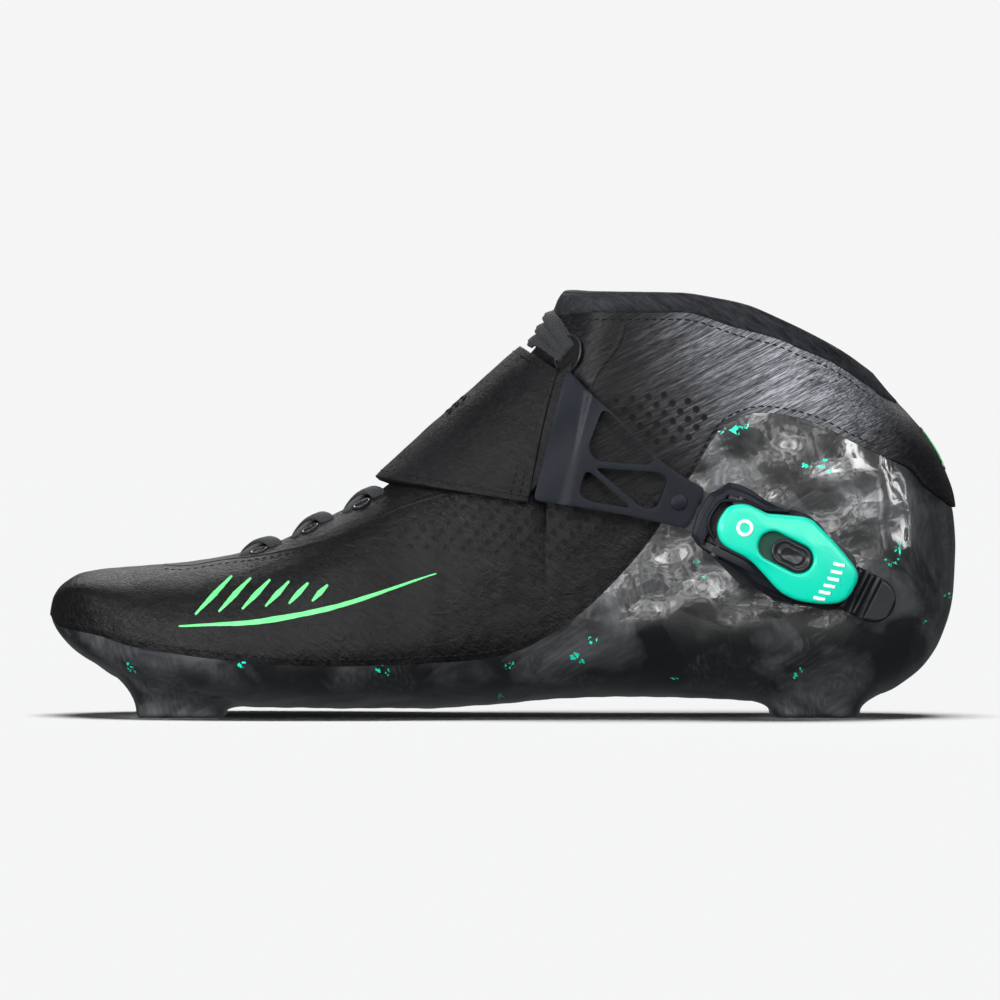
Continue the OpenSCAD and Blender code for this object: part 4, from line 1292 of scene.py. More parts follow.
def across(normal):
    """Two directions square to a normal and to each other; the first leans along x."""
    a = np.array([1.0, 0, 0]) - normal * normal[0]
    a /= np.linalg.norm(a)
    return a, np.cross(normal, a)


def ring_on(name, x, z, side, radius, tube, lift, squeeze=1.0):
    """A round bead lying on the boot's surface."""
    n, sides = 40, 10
    base, normal = (found[0] for found in surface([x], [z], side, np.array([lift])))
    a, b = across(normal)
    points = []
    for t in circle(n):
        spoke = math.cos(t) * a + squeeze * math.sin(t) * b
        for s in circle(sides):
            points.append(base + spoke * (radius + tube * math.cos(s)) + normal * tube * 0.7 * math.sin(s))
    obj = new_piece(name, points, loft_faces(n, sides, closed=True), "gloss_black", "boot")
    outward(obj)
    return obj


def disc_on(name, x, z, side, radius, lift, dish):
    """A near-black disc on the boot's surface, painted shade inside a hole, its middle dish mm deeper than
    its rim.
    """
    base, normal = (found[0] for found in surface([x], [z], side, np.array([lift])))
    a, b = across(normal)
    points, n = [base - normal * dish], 28
    for r, d in ((0.5, dish * 0.8), (1.0, 0.0)):
        points += [base + radius * r * (math.cos(t) * a + math.sin(t) * b) - normal * d for t in circle(n)]
    faces = [(0, 1 + i, 1 + (i + 1) % n) for i in range(n)]
    faces += [(1 + i, 1 + n + i, 1 + n + (i + 1) % n, 1 + (i + 1) % n) for i in range(n)]
    return new_piece(name, points, faces, "hole", "boot")


TOP_HOLE = (22.2, 112.2)


def make_eyelets():
    """An eyelet at each end of each lace, and a larger hole by the collar on each side."""
    first = None
    for i, x in enumerate(LACE_X):
        for side in (OUTER, INNER):
            z = float(throat_z(x, LACE_REACH, side))
            tag = f"{i}_{SIDE_NAME[side]}"
            ring = ring_on(f"eyelet_{tag}", x, z, side, 2.6, 0.55, RISE + 0.15)
            # dark disc in the eyelet: painted shade
            hole = disc_on(f"eyelet_hole_{tag}", x, z, side, 2.3, RISE + 0.12, 0.05)
            first = first or ring
    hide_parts("eyelets")
    for side, name in SIDE_NAME.items():
        rim = ring_on(f"top_hole_rim_{name}", *TOP_HOLE, side, 6.4, 0.5, RISE + 0.3, squeeze=0.92)
        # dark disc in the top hole: painted shade
        disc_on(f"top_hole_{name}", *TOP_HOLE, side, 6.3, RISE + 0.2, 0.1)


# ---------------------------------------------------------------- buckle hardware
# the buckle's frame: u runs along the ladder towards the heel, v up across it, and w out from the boot
BUCKLE_U = np.array([0.89439, 0, -0.44729])
BUCKLE_V = np.array([0.44729, 0, 0.89439])
BUCKLE_AT = np.array([87.7, 0, 50.8])


def buckle(u, v, w):
    """Places at (u, v, w) in the buckle's frame."""
    u, v, w = np.broadcast_arrays(np.asarray(u, float), np.asarray(v, float), np.asarray(w, float))
    return (BUCKLE_AT + u[..., None] * BUCKLE_U + v[..., None] * BUCKLE_V
            + w[..., None] * np.array([0, -1.0, 0]))


def from_cad(node, name, look, body, bevel, segments, angle=35, cutters=()):
    """A CAD part with its flat faces joined up, its edges rounded and a moulded finish."""
    mesh = frame["nodes"][node].data.copy()
    mesh.materials.clear()
    mesh.materials.append(LOOK[look])
    for extra in ("custom_normal", "sharp_edge", "sharp_face"):
        if extra in mesh.attributes:
            mesh.attributes.remove(mesh.attributes[extra])
    obj = bpy.data.objects.new(name, mesh)
    bpy.context.collection.objects.link(obj)

    def join_up(bm):
        bmesh.ops.remove_doubles(bm, verts=bm.verts, dist=0.00001)
        bmesh.ops.dissolve_limit(bm, angle_limit=math.radians(1.5), verts=bm.verts, edges=bm.edges)
    edit_mesh(mesh, join_up)
    for cutter in cutters:
        cut(obj, cutter)
    soften_edges(obj, bevel, segments, angle)
    smooth_by_angle(obj, 32)
    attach(obj, body)
    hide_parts(node)


def buckle_bar(u, v, w, half_u, half_v, half_w):
    """Rounded block in the buckle's frame, used as a cutter."""
    n = 24
    ring = superellipse(half_u, half_w, n, 12)
    points = [buckle(u + ring[:, 0], v + end, w + ring[:, 1]) for end in (-half_v, half_v)]
    faces = loft_faces(2, n, caps=True)
    obj = new_piece("cutter", np.concatenate(points), faces, "carbon", None, smooth=False)
    outward(obj)
    return obj


# outline of the cover as [u, v]
COVER = [(-22.2, -2.2), (-22.9, 0.8), (-22.2, 5.7), (-19.6, 7.7), (-17.2, 8.9), (-14.2, 9.0), (-10.6, 8.9),
         (-5.6, 11.0), (0.2, 13.2), (3.2, 13.4), (6.0, 12.5), (11.5, 10.6), (17.6, 8.0), (22.4, 5.6),
         (23.6, 3.1),
         (23.5, -1.9), (22.4, -4.9), (19.5, -7.1), (15.8, -8.8), (11.4, -10.3), (8.1, -10.9), (4.5, -10.8),
         (1.4, -9.9), (-3.0, -8.1), (-7.3, -6.5), (-10.2, -5.9), (-13.0, -5.8), (-17.3, -5.9), (-20.0, -4.8)]
COVER_CENTRE = (0.6, 0.8)
COVER_LOW, COVER_TOP = 46.95, 49.6
WINDOW = (18.0, 9.2, 0.0, 0.9)                 # length, width and middle
BUTTON_AT = (1.9, 0.9)
STEM_AT = (0.9, 0.2)


COVER_ANGLES = np.linspace(-math.pi, math.pi, 180, endpoint=False)


def star_radius(outline, centre, blur):
    """Distance from a centre to a closed outline at each angle, slightly rounded off."""
    q = np.array(outline) - np.array(centre)
    q = np.concatenate([q, q[:1]])
    fine = np.concatenate([q[i] + (q[i + 1] - q[i]) * np.linspace(0, 1, 60, endpoint=False)[:, None]
                           for i in range(len(q) - 1)])
    a = np.arctan2(fine[:, 1], fine[:, 0])
    order = np.argsort(a)
    a, r = a[order], np.linalg.norm(fine, axis=1)[order]
    wrapped = (np.concatenate([a - 2 * math.pi, a, a + 2 * math.pi]), np.concatenate([r, r, r]))
    radius = np.interp(COVER_ANGLES, *wrapped)
    reach = 12
    kernel = np.exp(-0.5 * (np.arange(-reach, reach + 1) / blur) ** 2)
    kernel /= kernel.sum()
    padded = np.concatenate([radius[-reach:], radius, radius[:reach]])
    return np.convolve(padded, kernel, mode="valid")


def oval(length, width, u=0.0, v=0.0, n=72):
    """Outline of a slot with round ends."""
    r = width / 2
    a = np.linspace(-math.pi / 2, 3 * math.pi / 2, n, endpoint=False)
    return [(u + (length / 2 - r) * (1 if math.cos(t) > 0 else -1) + r * math.cos(t), v + r * math.sin(t))
            for t in a]


def cover_profile():
    """Rings of the cover from its outer foot over the crown into the window."""
    outer = star_radius(COVER, COVER_CENTRE, 1.2)
    window = star_radius(oval(*WINDOW), COVER_CENTRE, 1.0)
    rings = [(outer - 0.9, COVER_LOW), (outer - 0.1, COVER_LOW), (outer, COVER_LOW + 0.25), (outer, 48.3),
             (outer - 0.12, 48.8), (outer - 0.45, 49.2), (outer - 1.0, 49.5), (outer - 1.5, COVER_TOP)]
    for share, rise in ((0.2, 0.12), (0.4, 0.24), (0.6, 0.34), (0.78, 0.44)):
        rings.append((outer - 1.5 + (window + 1.1 - outer + 1.5) * share, COVER_TOP + rise))
    rings += [(window + 1.0, COVER_TOP + 0.55), (window + 0.6, COVER_TOP + 0.52),
              (window + 0.25, COVER_TOP + 0.34), (window, COVER_TOP), (window - 0.1, 49.0),
              (window - 0.2, 47.7), (window - 0.2, COVER_LOW)]
    return rings


def ring_loft(name, rings, centre, look, body, closed=False):
    """A piece lofted through rings of (radius by angle, height) round a centre in the buckle's frame."""
    n = len(COVER_ANGLES)
    points = [buckle(centre[0] + radius * np.cos(COVER_ANGLES), centre[1] + radius * np.sin(COVER_ANGLES), w)
              for radius, w in rings]
    obj = new_piece(name, np.concatenate(points), loft_faces(len(rings), n, closed=closed), look, body)
    outward(obj)
    smooth_by_angle(obj, 50)
    return obj


def make_cover():
    """Green cover of the lever, with the floor of its window in a dark green that is painted shade in the
    recess.
    """
    obj = ring_loft("lever_cover_shell", cover_profile(), COVER_CENTRE, "green", "lever", True)
    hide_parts("lever_cover")
    window = star_radius(oval(*WINDOW), BUTTON_AT, 1.0)
    stem_hole = star_radius(oval(5.4, 4.6, *STEM_AT), BUTTON_AT, 1.0)
    rings = [(window - 0.1, 47.2), (window - 1.2, 47.14), (stem_hole, 47.1), (stem_hole, COVER_LOW),
             (window - 0.1, COVER_LOW)]
    # the window's floor is the cover's green darkened: painted shade
    window_floor = ring_loft("cover_window_floor", rings, BUTTON_AT, "shaded_window_green", "lever", True)


def make_button():
    """Release button: a dished oval cap with an oval finger pad, on its stem."""
    cap = star_radius(oval(13.0, 7.9, *BUTTON_AT), BUTTON_AT, 1.0)
    pad = star_radius(oval(8.0, 4.6, *BUTTON_AT), BUTTON_AT, 1.0)
    stem = star_radius(oval(4.2, 3.4, *STEM_AT), BUTTON_AT, 1.0)
    point = np.full(len(cap), 0.02)
    stem_end, underside = 44.2, 48.78
    rings = [(point, stem_end), (stem, stem_end), (stem, underside), (cap - 0.4, underside), (cap, 48.9),
             (cap, 49.15), (cap - 0.3, 49.45), (cap - 0.8, 49.5), (cap - 1.3, 49.2), (pad + 0.35, 49.0),
             (pad, 49.12), (pad - 0.3, 49.34), (pad - 0.7, 49.3), (pad * 0.5, 49.0), (point, 48.9)]
    obj = ring_loft("button_cap", rings, BUTTON_AT, "gloss_black", "button")
    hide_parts("release_button")


# outline of the buckle's surround as [u, v]; its top edge, then its lower edge, and its middle
SURROUND = [(-28.2, -6.9), (-29.4, 0.0), (-28.6, 6.8), (-26.6, 9.2), (-25.1, 12.4), (-21.6, 13.2),
            (-17.6, 13.3),
            (-12.3, 12.4), (-7.8, 12.4), (-3.9, 13.4), (0.7, 14.3), (5.5, 13.4), (12.8, 9.8), (14.6, 0.0),
            (13.2, -10.2), (8.8, -12.4), (4.6, -12.9), (-0.3, -13.3), (-4.7, -12.5), (-9.7, -10.8),
            (-14.6, -10.2),
            (-18.7, -10.2), (-22.4, -9.8), (-25.4, -9.1)]
SURROUND_HOLE = [(-24.0, -9.0), (-24.0, 9.0), (13.4, 9.0), (13.4, -9.0)]
SURROUND_CENTRE = (-7.0, 0.0)
WALL_ANGLES = (0.62, 2.55)                     # of the walls under it, which leave the ladder's way open


def make_skirt(section):
    """Two walls under the surround, one on each side of the ladder, which passes between them."""
    points, faces = [], []
    u, v = SURROUND_CENTRE
    for side in (-1, 1):
        turned = COVER_ANGLES * side
        wall = np.flatnonzero((turned > WALL_ANGLES[0]) & (turned < WALL_ANGLES[1]))
        a = COVER_ANGLES[wall]
        first, n = sum(len(p) for p in points), len(wall)
        points += [buckle(u + r[wall] * np.cos(a), v + r[wall] * np.sin(a), w) for r, w in section]
        faces += loft_faces(len(section), n, first, closed=True, whole=False)
        faces += [tuple(first + end + i * n for i in range(len(section))) for end in (0, n - 1)]
    obj = new_piece("buckle_surround_skirt", np.concatenate(points), faces, "plastic", "boot")
    outward(obj)
    smooth_by_angle(obj, 50)


def make_surround():
    """Moulded surround of the buckle: a stepped plate with a raised lip round the lever's front."""
    outer = star_radius(SURROUND, SURROUND_CENTRE, 0.5)
    hole = star_radius(SURROUND_HOLE, SURROUND_CENTRE, 0.6)
    step = np.minimum(outer - 1.4, hole + (outer - hole) * 0.62)
    step = np.maximum(step, hole + 0.3)
    rings = [(hole, 41.2), (outer - 0.7, 41.2), (outer, 41.6), (outer, 42.7), (outer - 0.35, 43.15),
             (step + 0.35, 43.25), (step, 43.5), (step - 0.05, 43.75),
             (np.maximum(step - 0.5, hole + 0.1), 43.9), (hole, 43.9)]
    obj = ring_loft("buckle_surround", rings, SURROUND_CENTRE, "spreader", "boot", True)
    inner = np.minimum(hole, outer - 2.7)
    make_skirt([(inner, 36.2), (outer - 1.5, 36.2), (outer - 1.2, 41.3), (inner, 41.3)])
    make_lip()


def make_lip():
    """Lip on the surround that follows the cover's outline, a little further off round its front."""
    gap, n = 1.15, 120
    around = star_radius(COVER, COVER_CENTRE, 1.2) + gap
    u = COVER_CENTRE[0] + around * np.cos(COVER_ANGLES)
    v = COVER_CENTRE[1] + around * np.sin(COVER_ANGLES)
    u = u - 1.6 * np.clip((-20 - u) / 3, 0, 1)
    order = np.argsort(np.mod(COVER_ANGLES, 2 * math.pi))
    path = np.stack([u, v], axis=1)[order]
    path = along(path[path[:, 0] < -4.5], n)
    out = np.tile([0, -1.0, 0], (n, 1))
    lip = ribbon("buckle_surround_lip", buckle(path[:, 0], path[:, 1], 44.6), out, 1.3, 3.0, "spreader")


TAIL_START, TAIL_END, TAIL_ROUND = 22.0, 30.6, 7.1
TAIL_GROOVES = (25.4, 29.2)


def make_ladder_tail():
    """Raised thumb pad at the end of the ladder, with two rounded grooves across it."""
    tip = TAIL_END + TAIL_ROUND
    u = TAIL_START + (tip - TAIL_START) * (1 - (1 - even(90)) ** 1.6)
    t = np.sin(np.linspace(-math.pi / 2, math.pi / 2, 31))
    rounding = np.sqrt(np.clip(TAIL_ROUND ** 2 - (u - TAIL_END) ** 2, 0.0004, None))
    wide = np.where(u < TAIL_END, TAIL_ROUND, rounding)
    v = t[None, :] * wide[:, None]
    edge = np.minimum((1 - np.abs(t))[None, :] * TAIL_ROUND, (tip - u)[:, None])
    edge = np.minimum(edge, (u - TAIL_START)[:, None])
    groove = sum(np.exp(-((u - at) / 1.15) ** 4) for at in TAIL_GROOVES)[:, None]
    w = 39.3 + 1.25 * quarter(edge / 1.1) * (1 - 0.85 * groove)
    p = buckle(u[:, None] + 0 * v, v, w)
    obj = new_piece("ladder_tail", p.reshape(-1, 3), grid_faces(len(u), 31), "plastic", "strap")
    merge_close(obj)
    face_along(obj, 1, -1)


def cover_w(u, v):
    """Height of the cover's outside at (u, v)."""
    du, dv = u - COVER_CENTRE[0], v - COVER_CENTRE[1]
    angle, distance = math.atan2(dv, du), math.hypot(du, dv)
    crown = cover_profile()[3:13]
    radii = [-np.interp(angle, COVER_ANGLES, r) for r, w in crown]
    return float(np.interp(-distance, radii, [w for r, w in crown]))


PRINT_WIDTH, PRINT_LIFT, PRINT_HEIGHT = 1.1, 0.05, 0.16


def printed_line(name, path):
    """White line on the cover, from a path of (u, v)."""
    q = along(path, max(4, int(path_length(path) / 0.35)))
    side = beside(q)
    points = []
    for off, up in ((-0.5, 0), (-0.4, 1), (0.4, 1), (0.5, 0)):
        e = q + side * off * PRINT_WIDTH
        w = np.array([cover_w(*p) for p in e]) + PRINT_LIFT + up * PRINT_HEIGHT - (0 if up else 0.1)
        points.append(buckle(e[:, 0], e[:, 1], w))
    p = np.stack(points, axis=1)
    obj = new_piece(name, p.reshape(-1, 3), grid_faces(len(q), 4), "white", "lever")
    face_along(obj, 1, -1)


def make_cover_marks():
    """A plain ring and a row of slanted bars, printed in white."""
    ring = [(-14.6 + 2.1 * math.cos(t), 2.0 + 2.1 * math.sin(t)) for t in np.linspace(0, 2 * math.pi, 25)]
    printed_line("cover_ring_mark", ring)
    for k in range(6):
        v = -7.2 + 2.4 * k
        u = 15.4 + 0.75 * k - 0.12 * k * k
        printed_line(f"cover_bar_mark_{k}", [(u - 1.7, v - 0.5), (u, v), (u + 1.7, v + 0.5)])


def make_hardware():
    """The buckle, the ladder and the looks of the small metal parts, which keep their CAD shape."""
    old_pad = buckle_bar(31, 0, 41.25, 9.5, 9, 1.75)
    from_cad("ladder_strap", "ladder", "plastic", "strap", 0.3, 2, cutters=[old_pad])
    make_ladder_tail()
    from_cad("spreader_rivet", "spreader_stud", "spreader", "strap", 0.25, 2, 30)
    from_cad("buckle_base", "buckle_housing", "plastic", "boot", 0.55, 3)
    from_cad("buckle_pad", "buckle_foot", "plastic", "boot", 0.4, 2)
    from_cad("buckle_lever", "lever_arms", "plastic", "lever", 0.25, 2)
    from_cad("strap_anchor", "anchor_plate", "plastic", "boot", 0.5, 3)
    make_cover()
    make_cover_marks()
    make_button()
    make_surround()
    for node in ("front_threaded_insert", "rear_threaded_insert", "anchor_rivets", "buckle_screws",
                 "buckle_tee_nuts", "lever_spring", "drive_pawl", "drive_pawl_pin", "hold_pawl",
                 "hold_pawl_spring", "lever_pin", "hold_pawl_pin"):
        look = "gloss_black" if node in ("lever_pin", "hold_pawl_pin") else "steel"
        mesh = frame["nodes"][node].data
        for i in range(len(mesh.materials)):
            mesh.materials[i] = LOOK[look]


# ---------------------------------------------------------------- moulded spreader
def rounded(outline, radius):
    """A polygon with its corners rounded off."""
    steps = 5
    q = np.array(outline, float)
    out = []
    for i in range(len(q)):
        a, b, c = q[i - 1], q[i], q[(i + 1) % len(q)]
        u, v = a - b, c - b
        cut_u, cut_v = (min(radius, np.linalg.norm(w) * 0.45) for w in (u, v))
        p0, p1 = b + u / np.linalg.norm(u) * cut_u, b + v / np.linalg.norm(v) * cut_v
        for t in np.linspace(0, 1, steps):
            out.append((1 - t) ** 2 * p0 + 2 * t * (1 - t) * b + t ** 2 * p1)
    return np.array(out)


def inside(points, outline):
    """Which points lie inside a closed outline."""
    x, y = points[:, 0], points[:, 1]
    hit = np.zeros(len(points), bool)
    for (x0, y0), (x1, y1) in zip(outline, np.roll(outline, -1, axis=0)):
        crosses = (y0 > y) != (y1 > y)
        edge_x = (x1 - x0) * (y - y0) / (1e-9 if y1 == y0 else y1 - y0) + x0
        hit ^= crosses & (x < edge_x)
    return hit


def plate(outline, windows, spacing):
    """Triangles that fill an outline with windows in it, fine enough to bend."""
    verts, edges = [], []
    for loop in [outline] + windows:
        dense = []
        for i in range(len(loop)):
            a, b = loop[i], loop[(i + 1) % len(loop)]
            n = max(1, int(np.linalg.norm(b - a) / spacing))
            dense += [a + (b - a) * k / n for k in range(n)]
        start = len(verts)
        verts += dense
        edges += [(start + i, start + (i + 1) % len(dense)) for i in range(len(dense))]
    low, high = outline.min(axis=0), outline.max(axis=0)
    grid = np.array([(x + (0.5 * spacing if k % 2 else 0), z)
                     for k, z in enumerate(np.arange(low[1], high[1], spacing * 0.87))
                     for x in np.arange(low[0], high[0], spacing)])

    def filled(places):
        return inside(places, outline) & ~np.any([inside(places, w) for w in windows], axis=0)
    near = np.min(np.linalg.norm(grid[:, None] - np.array(verts)[None], axis=2), axis=1) > spacing * 0.5
    verts = [Vector(v) for v in verts] + [Vector(v) for v in grid[filled(grid) & near]]
    found = delaunay_2d_cdt(verts, edges, [], 0, 1e-6)
    points = np.array([tuple(v) for v in found[0]])
    middle = np.array([points[list(f)].mean(axis=0) for f in found[2]])
    return points, [f for f, keep in zip(found[2], filled(middle)) if keep]


SPREADER = [(21.1, 108.2), (28.6, 100.1), (36.1, 93.4), (44.6, 84.6), (50.6, 78.9), (56.7, 74.7),
            (63.8, 71.1), (57.4, 58.8), (51.1, 60.3), (39.9, 62.9), (24.9, 65.5), (10.8, 67.5)]
WINDOWS = [[(31.9, 95.4), (34.6, 94.2), (48.2, 80.4), (46.8, 78.3), (29.9, 79.5), (27.5, 83.5)],
           [(29.6, 77.6), (49.6, 76.1), (52.2, 73.9), (48.8, 65.3), (45.4, 64.8), (42.6, 66.2)],
           [(26.8, 76.6), (29.2, 75.6), (41.2, 65.0), (27.6, 67.2), (24.7, 69.6)]]
CREASE = (np.array([28.4, 101.0]), np.array([20.6, 66.0]))


def on_arch(p, r):
    """Places on the arch's outer side at (x, z)."""
    e = p[:, 0] * INSTEP_E[0] + p[:, 1] * INSTEP_E[2]
    up = np.clip(e - ARCH_AXIS, 0, None)
    return np.stack([p[:, 0], -np.sqrt(np.clip(r ** 2 - up ** 2, 0, None)), p[:, 1]], axis=1)


def make_spreader():
    """Truss-like spreader: a flat band by the strap, a crest, then bars round three windows."""
    points, faces = plate(rounded(SPREADER, 2.2), [rounded(w, 2.0) for w in WINDOWS], 1.3)
    a, b = CREASE
    forward = np.array([(a - b)[1], -(a - b)[0]])
    forward /= np.linalg.norm(forward)
    distance = (points - a) @ forward
    crest = np.clip((distance + 1.2) / 1.6, 0, 1)
    crest = crest * crest * (3 - 2 * crest)
    end = np.clip((points[:, 0] - 50) / 12, 0, 1)
    r = STRAP_R + 2.0 + 1.15 * crest - 0.3 * end
    obj = new_piece("spreader_frame", on_arch(points, r), faces, "spreader", "strap")
    face_along(obj, 1, -1)
    apply_modifier(obj, "SOLIDIFY", thickness=2.7 * MM, offset=-1)
    soften_edges(obj, 0.85, 4, 50)
    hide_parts("strap_spreader")


# ---------------------------------------------------------------- punched holes, seams and printed marks
def on_upper(x, z, side, lift):
    """Places and normals on the leather's outside."""
    base, normal = surface(x, z, side)
    height = RISE + ripple(base, *UPPER_WAVE) + lift
    return base + normal * height[..., None], normal


def on_shell(x, z, side, lift):
    """Places on the shell's outside."""
    base, normal = surface(x, z, side)
    return base + normal * (ripple(base, *SHELL_WAVE) + lift)[..., None]


HOLES_X, HOLE_PITCH, HOLE_RISE = -43.3, 5.4, 2.5   # first hole, and the spacing along and between rows
HOLE_ENDS = (29.4, 27.0, 30.1, 33.0, 36.0, 36.5, 36.0)   # x at the end of each row on the vamp
ANKLE_HOLES = (4, 5, 5, 5, 4, 3)               # holes in each row on the ankle


def hole_places():
    """Staggered rows of punched holes on the vamp and the ankle."""
    places = []
    for k, last in enumerate(HOLE_ENDS):
        first = HOLES_X + 4.9 * k + HOLE_PITCH / 2 * (k % 2)
        for x in np.arange(first, last + 0.1, HOLE_PITCH):
            share = (x - HOLES_X) / 72.7
            bow = 0.9 * math.sin(math.pi * min(1, share))
            places.append((x, 53.8 - 4.9 * share + HOLE_RISE * k + bow))
    for k, count in enumerate(ANKLE_HOLES):
        places += [(36.3 + HOLE_RISE * k + 4.9 * i, 98.1 - HOLE_RISE * k + 0.6 * i) for i in range(count)]
    return np.array(places)


def make_holes():
    """Each hole is a turned-in rim round a dark pit, a near-black disc that is painted shade."""
    n = 12
    a = circle(n)
    rim_section = ((1.2, -0.04), (1.02, 0.10), (0.84, 0.12), (0.68, 0.03))   # radius, height
    for side, name in SIDE_NAME.items():
        q = hole_places()
        if side == INNER:                      # none under the strap's fixed end
            q = q[(q[:, 1] <= 62) | (q[:, 0] >= 24)]
        at, up = on_upper(q[:, 0], q[:, 1], side, 0.0)
        rims, pits, rim_faces, pit_faces = [], [], [], []
        for p, normal in zip(at, up):
            e1, e2 = across(normal)
            spokes = np.cos(a)[:, None] * e1 + np.sin(a)[:, None] * e2
            rim_faces += loft_faces(4, n, len(rims) * n)
            rims += [p + spokes * radius + normal * height for radius, height in rim_section]
            first = len(pits) * n
            # near-black disc just over the leather: painted shade in the hole
            pits.append(p + spokes * 0.74 + normal * 0.045)
            pit_faces.append(tuple(range(first, first + n)))
        rim = new_piece(f"{name}_hole_rims", np.concatenate(rims), rim_faces, "leather", "boot")
        pit = new_piece(f"{name}_hole_pits", np.concatenate(pits), pit_faces, "hole", "boot", smooth=False)
        for obj in (rim, pit):
            face_along(obj, 1, side)


EYESTAY = [(-104.0, 45.3), (-98.9, 45.2), (-85.9, 47.0), (-70.6, 49.3), (-54.1, 53.5), (-47.3, 56.2),
           (-30.3, 63.7), (-15.1, 68.6)]
ANKLE_FRONT = [(39.0, 121.0), (36.8, 114.2), (32.0, 108.0), (29.7, 104.0), (27.0, 97.0)]
BACK_SEAM = [(96.9, 118.4), (99.4, 114.6), (102.5, 111.5)]


def make_seams():
    """Stitched seams of the upper."""
    x = np.linspace(-134, 137, 420)
    hem = np.stack([x, np.minimum(feather_z(x) + 2.0, top_z(x))], axis=1)
    x = np.linspace(22, 119, 160)
    below_collar = np.stack([x, seam_z(x) - 2.4], axis=1)
    lines = [hem, below_collar, EYESTAY, ANKLE_FRONT, BACK_SEAM]
    rows = []
    for side in (OUTER, INNER):
        for q in lines:
            q = along(q, max(3, int(path_length(q))))
            rows.append(on_upper(q[:, 0], q[:, 1], side, 0.05))
    stitches("upper_stitches", rows, pitch=2.5, length=1.75, width=0.62)
    # welts: a raised fold beside each seam
    for side, name in SIDE_NAME.items():
        for tag, q, look in (("eyestay", EYESTAY, "leather"), ("ankle", ANKLE_FRONT, "hairline")):
            q = along(q, 90) + np.array([0.0, 1.1])
            places, normals = on_upper(q[:, 0], q[:, 1], side, -0.05)
            ribbon(f"{name}_{tag}_welt", places, normals, 1.5, 0.5, look)


INK_HEIGHT = 0.12


def painted(name, strokes, place):
    """Brush-like strokes of ink; each stroke is a path with widths spread along it."""
    points, faces = [], []
    for path, widths in strokes:
        q = along(path, max(8, int(path_length(path) / 0.6)))
        t = np.linspace(0, 1, len(q))
        width = np.interp(t, np.linspace(0, 1, len(widths)), widths)
        width = width * (1 + 0.05 * np.sin(37 * t) + 0.04 * np.sin(91 * t))
        side = beside(q)
        start = sum(len(p) for p in points)
        rows = []
        for off, up in ((-0.5, 0), (-0.36, 1), (0, 1.15), (0.36, 1), (0.5, 0)):
            e = q + side * (off * width)[:, None]
            rows.append(place(e, up * INK_HEIGHT))
        points.append(np.stack(rows, axis=1).reshape(-1, 3))
        faces += grid_faces(len(q), 5, start)
    obj = new_piece(name, np.concatenate(points), faces, "lime", "boot")
    return obj


def make_marks():
    """Plain speed strokes on the toe and a double ring on the heel."""
    strokes = [([(-98, 28.6), (-78, 29.6), (-55, 33.4), (-19, 44.8)], (0.5, 1.7, 1.4, 0.4))]
    for k in range(6):
        x, z, tall = -93 + 7.2 * k, 32.0 + 0.85 * k, 11.5 - 1.3 * k
        path = [(x, z), (x + 0.42 * tall, z + 0.45 * tall), (x + 0.95 * tall, z + tall)]
        strokes.append((path, (0.6, 1.7, 0.7)))
    mark = painted("toe_speed_strokes", strokes, lambda q, h: on_upper(q[:, 0], q[:, 1], OUTER, h + 0.03)[0])
    face_along(mark, 1, OUTER)

    def on_heel(q, h):
        """(y, height up the back) to a place on the heel tab."""
        y, z = q[:, 0], q[:, 1]
        places = np.zeros((len(q), 3))
        for side in (OUTER, INNER):
            on = (y < 0) if side == OUTER else (y >= 0)
            back = curve(BACK, z[on])
            x = halved(lambda x: half_width(x, z[on], side) > np.abs(y[on]), back - 40, back, 24)
            base, normal = surface(x, z[on], side)
            backward = normal[:, 0] > 0.5
            normal = np.where(backward[:, None], normal, [0.95, 0, 0.3])
            base[:, 1] = y[on]
            places[on] = base + normal * (RISE + 0.62 + h)
        return places
    rings = []
    for r in (6.6, 4.9):
        t = np.linspace(-math.pi / 2, 1.5 * math.pi, 49)
        rings.append(([(r * math.cos(a), 82.6 + r * 0.95 * math.sin(a)) for a in t], (0.8, 0.8)))
    face_along(painted("heel_ring_mark", rings, on_heel), 0)


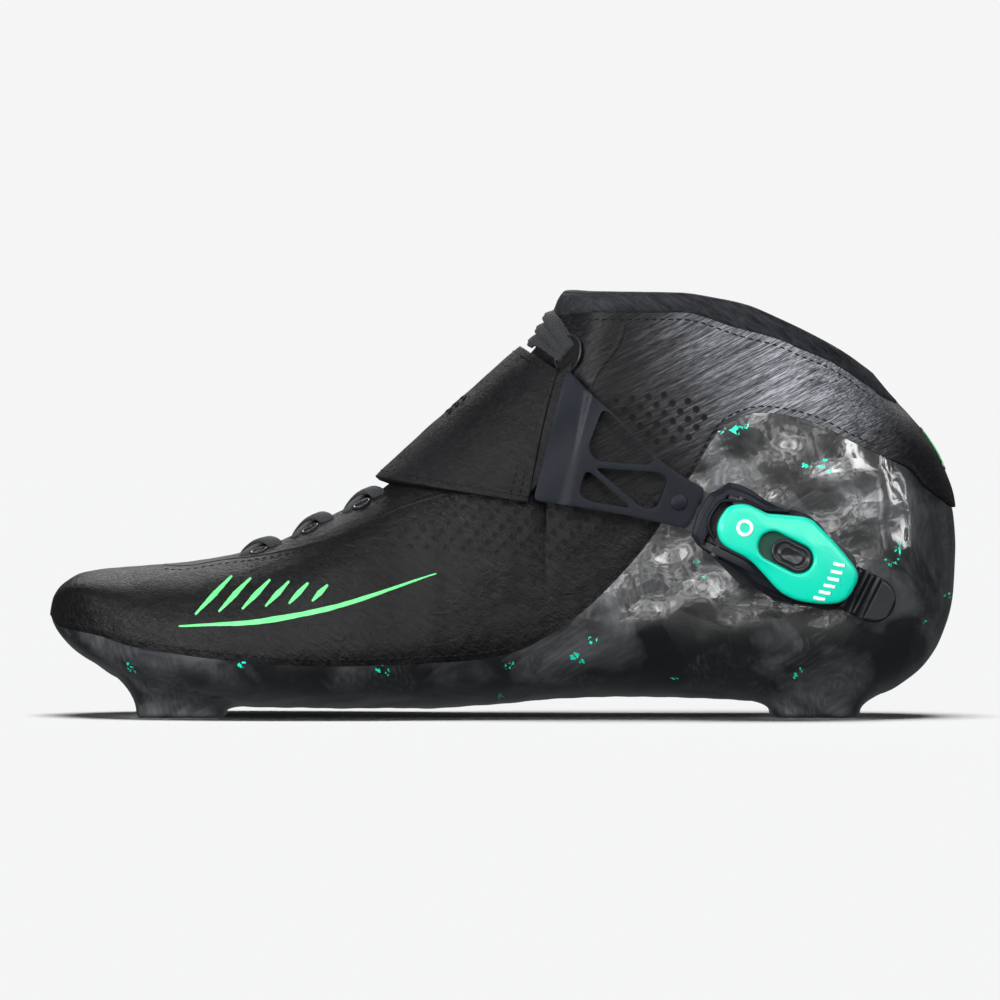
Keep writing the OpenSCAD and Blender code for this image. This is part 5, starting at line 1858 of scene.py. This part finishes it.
FLECKS = [(72.6, 89.6, 2.6), (69.2, 88.4, 1.4), (76.4, 90.4, 1.2), (102.0, 79.1, 2.2), (102.3, 76.4, 1.2),
          (94.9, 77.9, 1.5), (122.7, 51.0, 2.6), (121.2, 48.2, 1.6), (124.0, 53.4, 1.2), (60.9, 48.5, 1.3),
          (63.3, 43.6, 0.9), (28.4, 24.4, 1.7), (23.8, 19.5, 2.0), (25.7, 17.6, 1.0), (2.8, 15.8, 1.0),
          (4.4, 17.4, 0.8), (-36.5, 15.5, 1.3), (-34.2, 14.5, 0.9), (-78.2, 17.0, 1.8), (-113.7, 15.8, 1.2),
          (-112.4, 14.6, 0.8), (0.6, 6.5, 1.3), (91.8, 13.6, 1.3), (93.6, 15.2, 0.8), (55.0, 12.4, 0.9),
          (139.7, 37.4, 1.2), (132, 30, 1.1)]         # x, z and size of each on the outer side


def make_flecks():
    """Green carbon chips caught near the surface of the shell."""
    rng = np.random.default_rng(7)
    spots = [(x, z, r, OUTER) for x, z, r in FLECKS]
    for x in np.linspace(-110, 128, 22):
        x = x + rng.uniform(-4, 4)
        low, high = float(curve(SOLE, x)) + 4, float(feather_z(x)) - 3
        if high > low:
            spots.append((x, rng.uniform(low, high), rng.uniform(0.8, 2.3), INNER))
    points, faces = [], []
    for x, z, size, side in spots:
        for _ in range(5):
            n = int(rng.integers(5, 8))
            r = size * rng.uniform(0.22, 0.62)
            cx, cz = x + rng.normal(0, 0.55) * size, z + rng.normal(0, 0.42) * size
            turn, squash = rng.uniform(0, 6.28), rng.uniform(0.35, 0.9)
            a = np.sort(rng.uniform(0, 2 * math.pi, n))
            rr = r * rng.uniform(0.6, 1.25, n)
            u, v = rr * np.cos(a), squash * rr * np.sin(a)
            q = np.stack([cx + u * math.cos(turn) - v * math.sin(turn),
                          cz + u * math.sin(turn) + v * math.cos(turn)], axis=1)
            q = np.concatenate([[[cx, cz]], q])
            if (half_width(q[:, 0], q[:, 1], side) < 4).any():
                continue
            start = sum(len(o) for o in points)
            points.append(on_shell(q[:, 0], q[:, 1], side, 0.05))
            for i in range(1, n + 1):
                edge = (start + i, start + i % n + 1)
                faces.append((start, *(edge if side == OUTER else edge[::-1])))
    obj = new_piece("green_chips", np.concatenate(points), faces, "chip", "boot")


# ---------------------------------------------------------------- build
make_camera()
make_world()
floor = make_floor()
boxes, sun = make_lights()

make_shell()
make_block("front_block", "front_mount_block", -BOLT_X - 1, -BOLT_X)
make_block("rear_block", "rear_mount_block", BOLT_X + 1, BOLT_X)
for make in (make_vamp, make_panels, make_heel_tab, make_collar, make_lining, make_insole, make_tongue,
             make_ankle_pads, make_strap, make_laces, make_eyelets, make_hardware, make_spreader, make_holes,
             make_seams, make_marks, make_flecks):
    make()

link_lights(boxes, sun, floor)
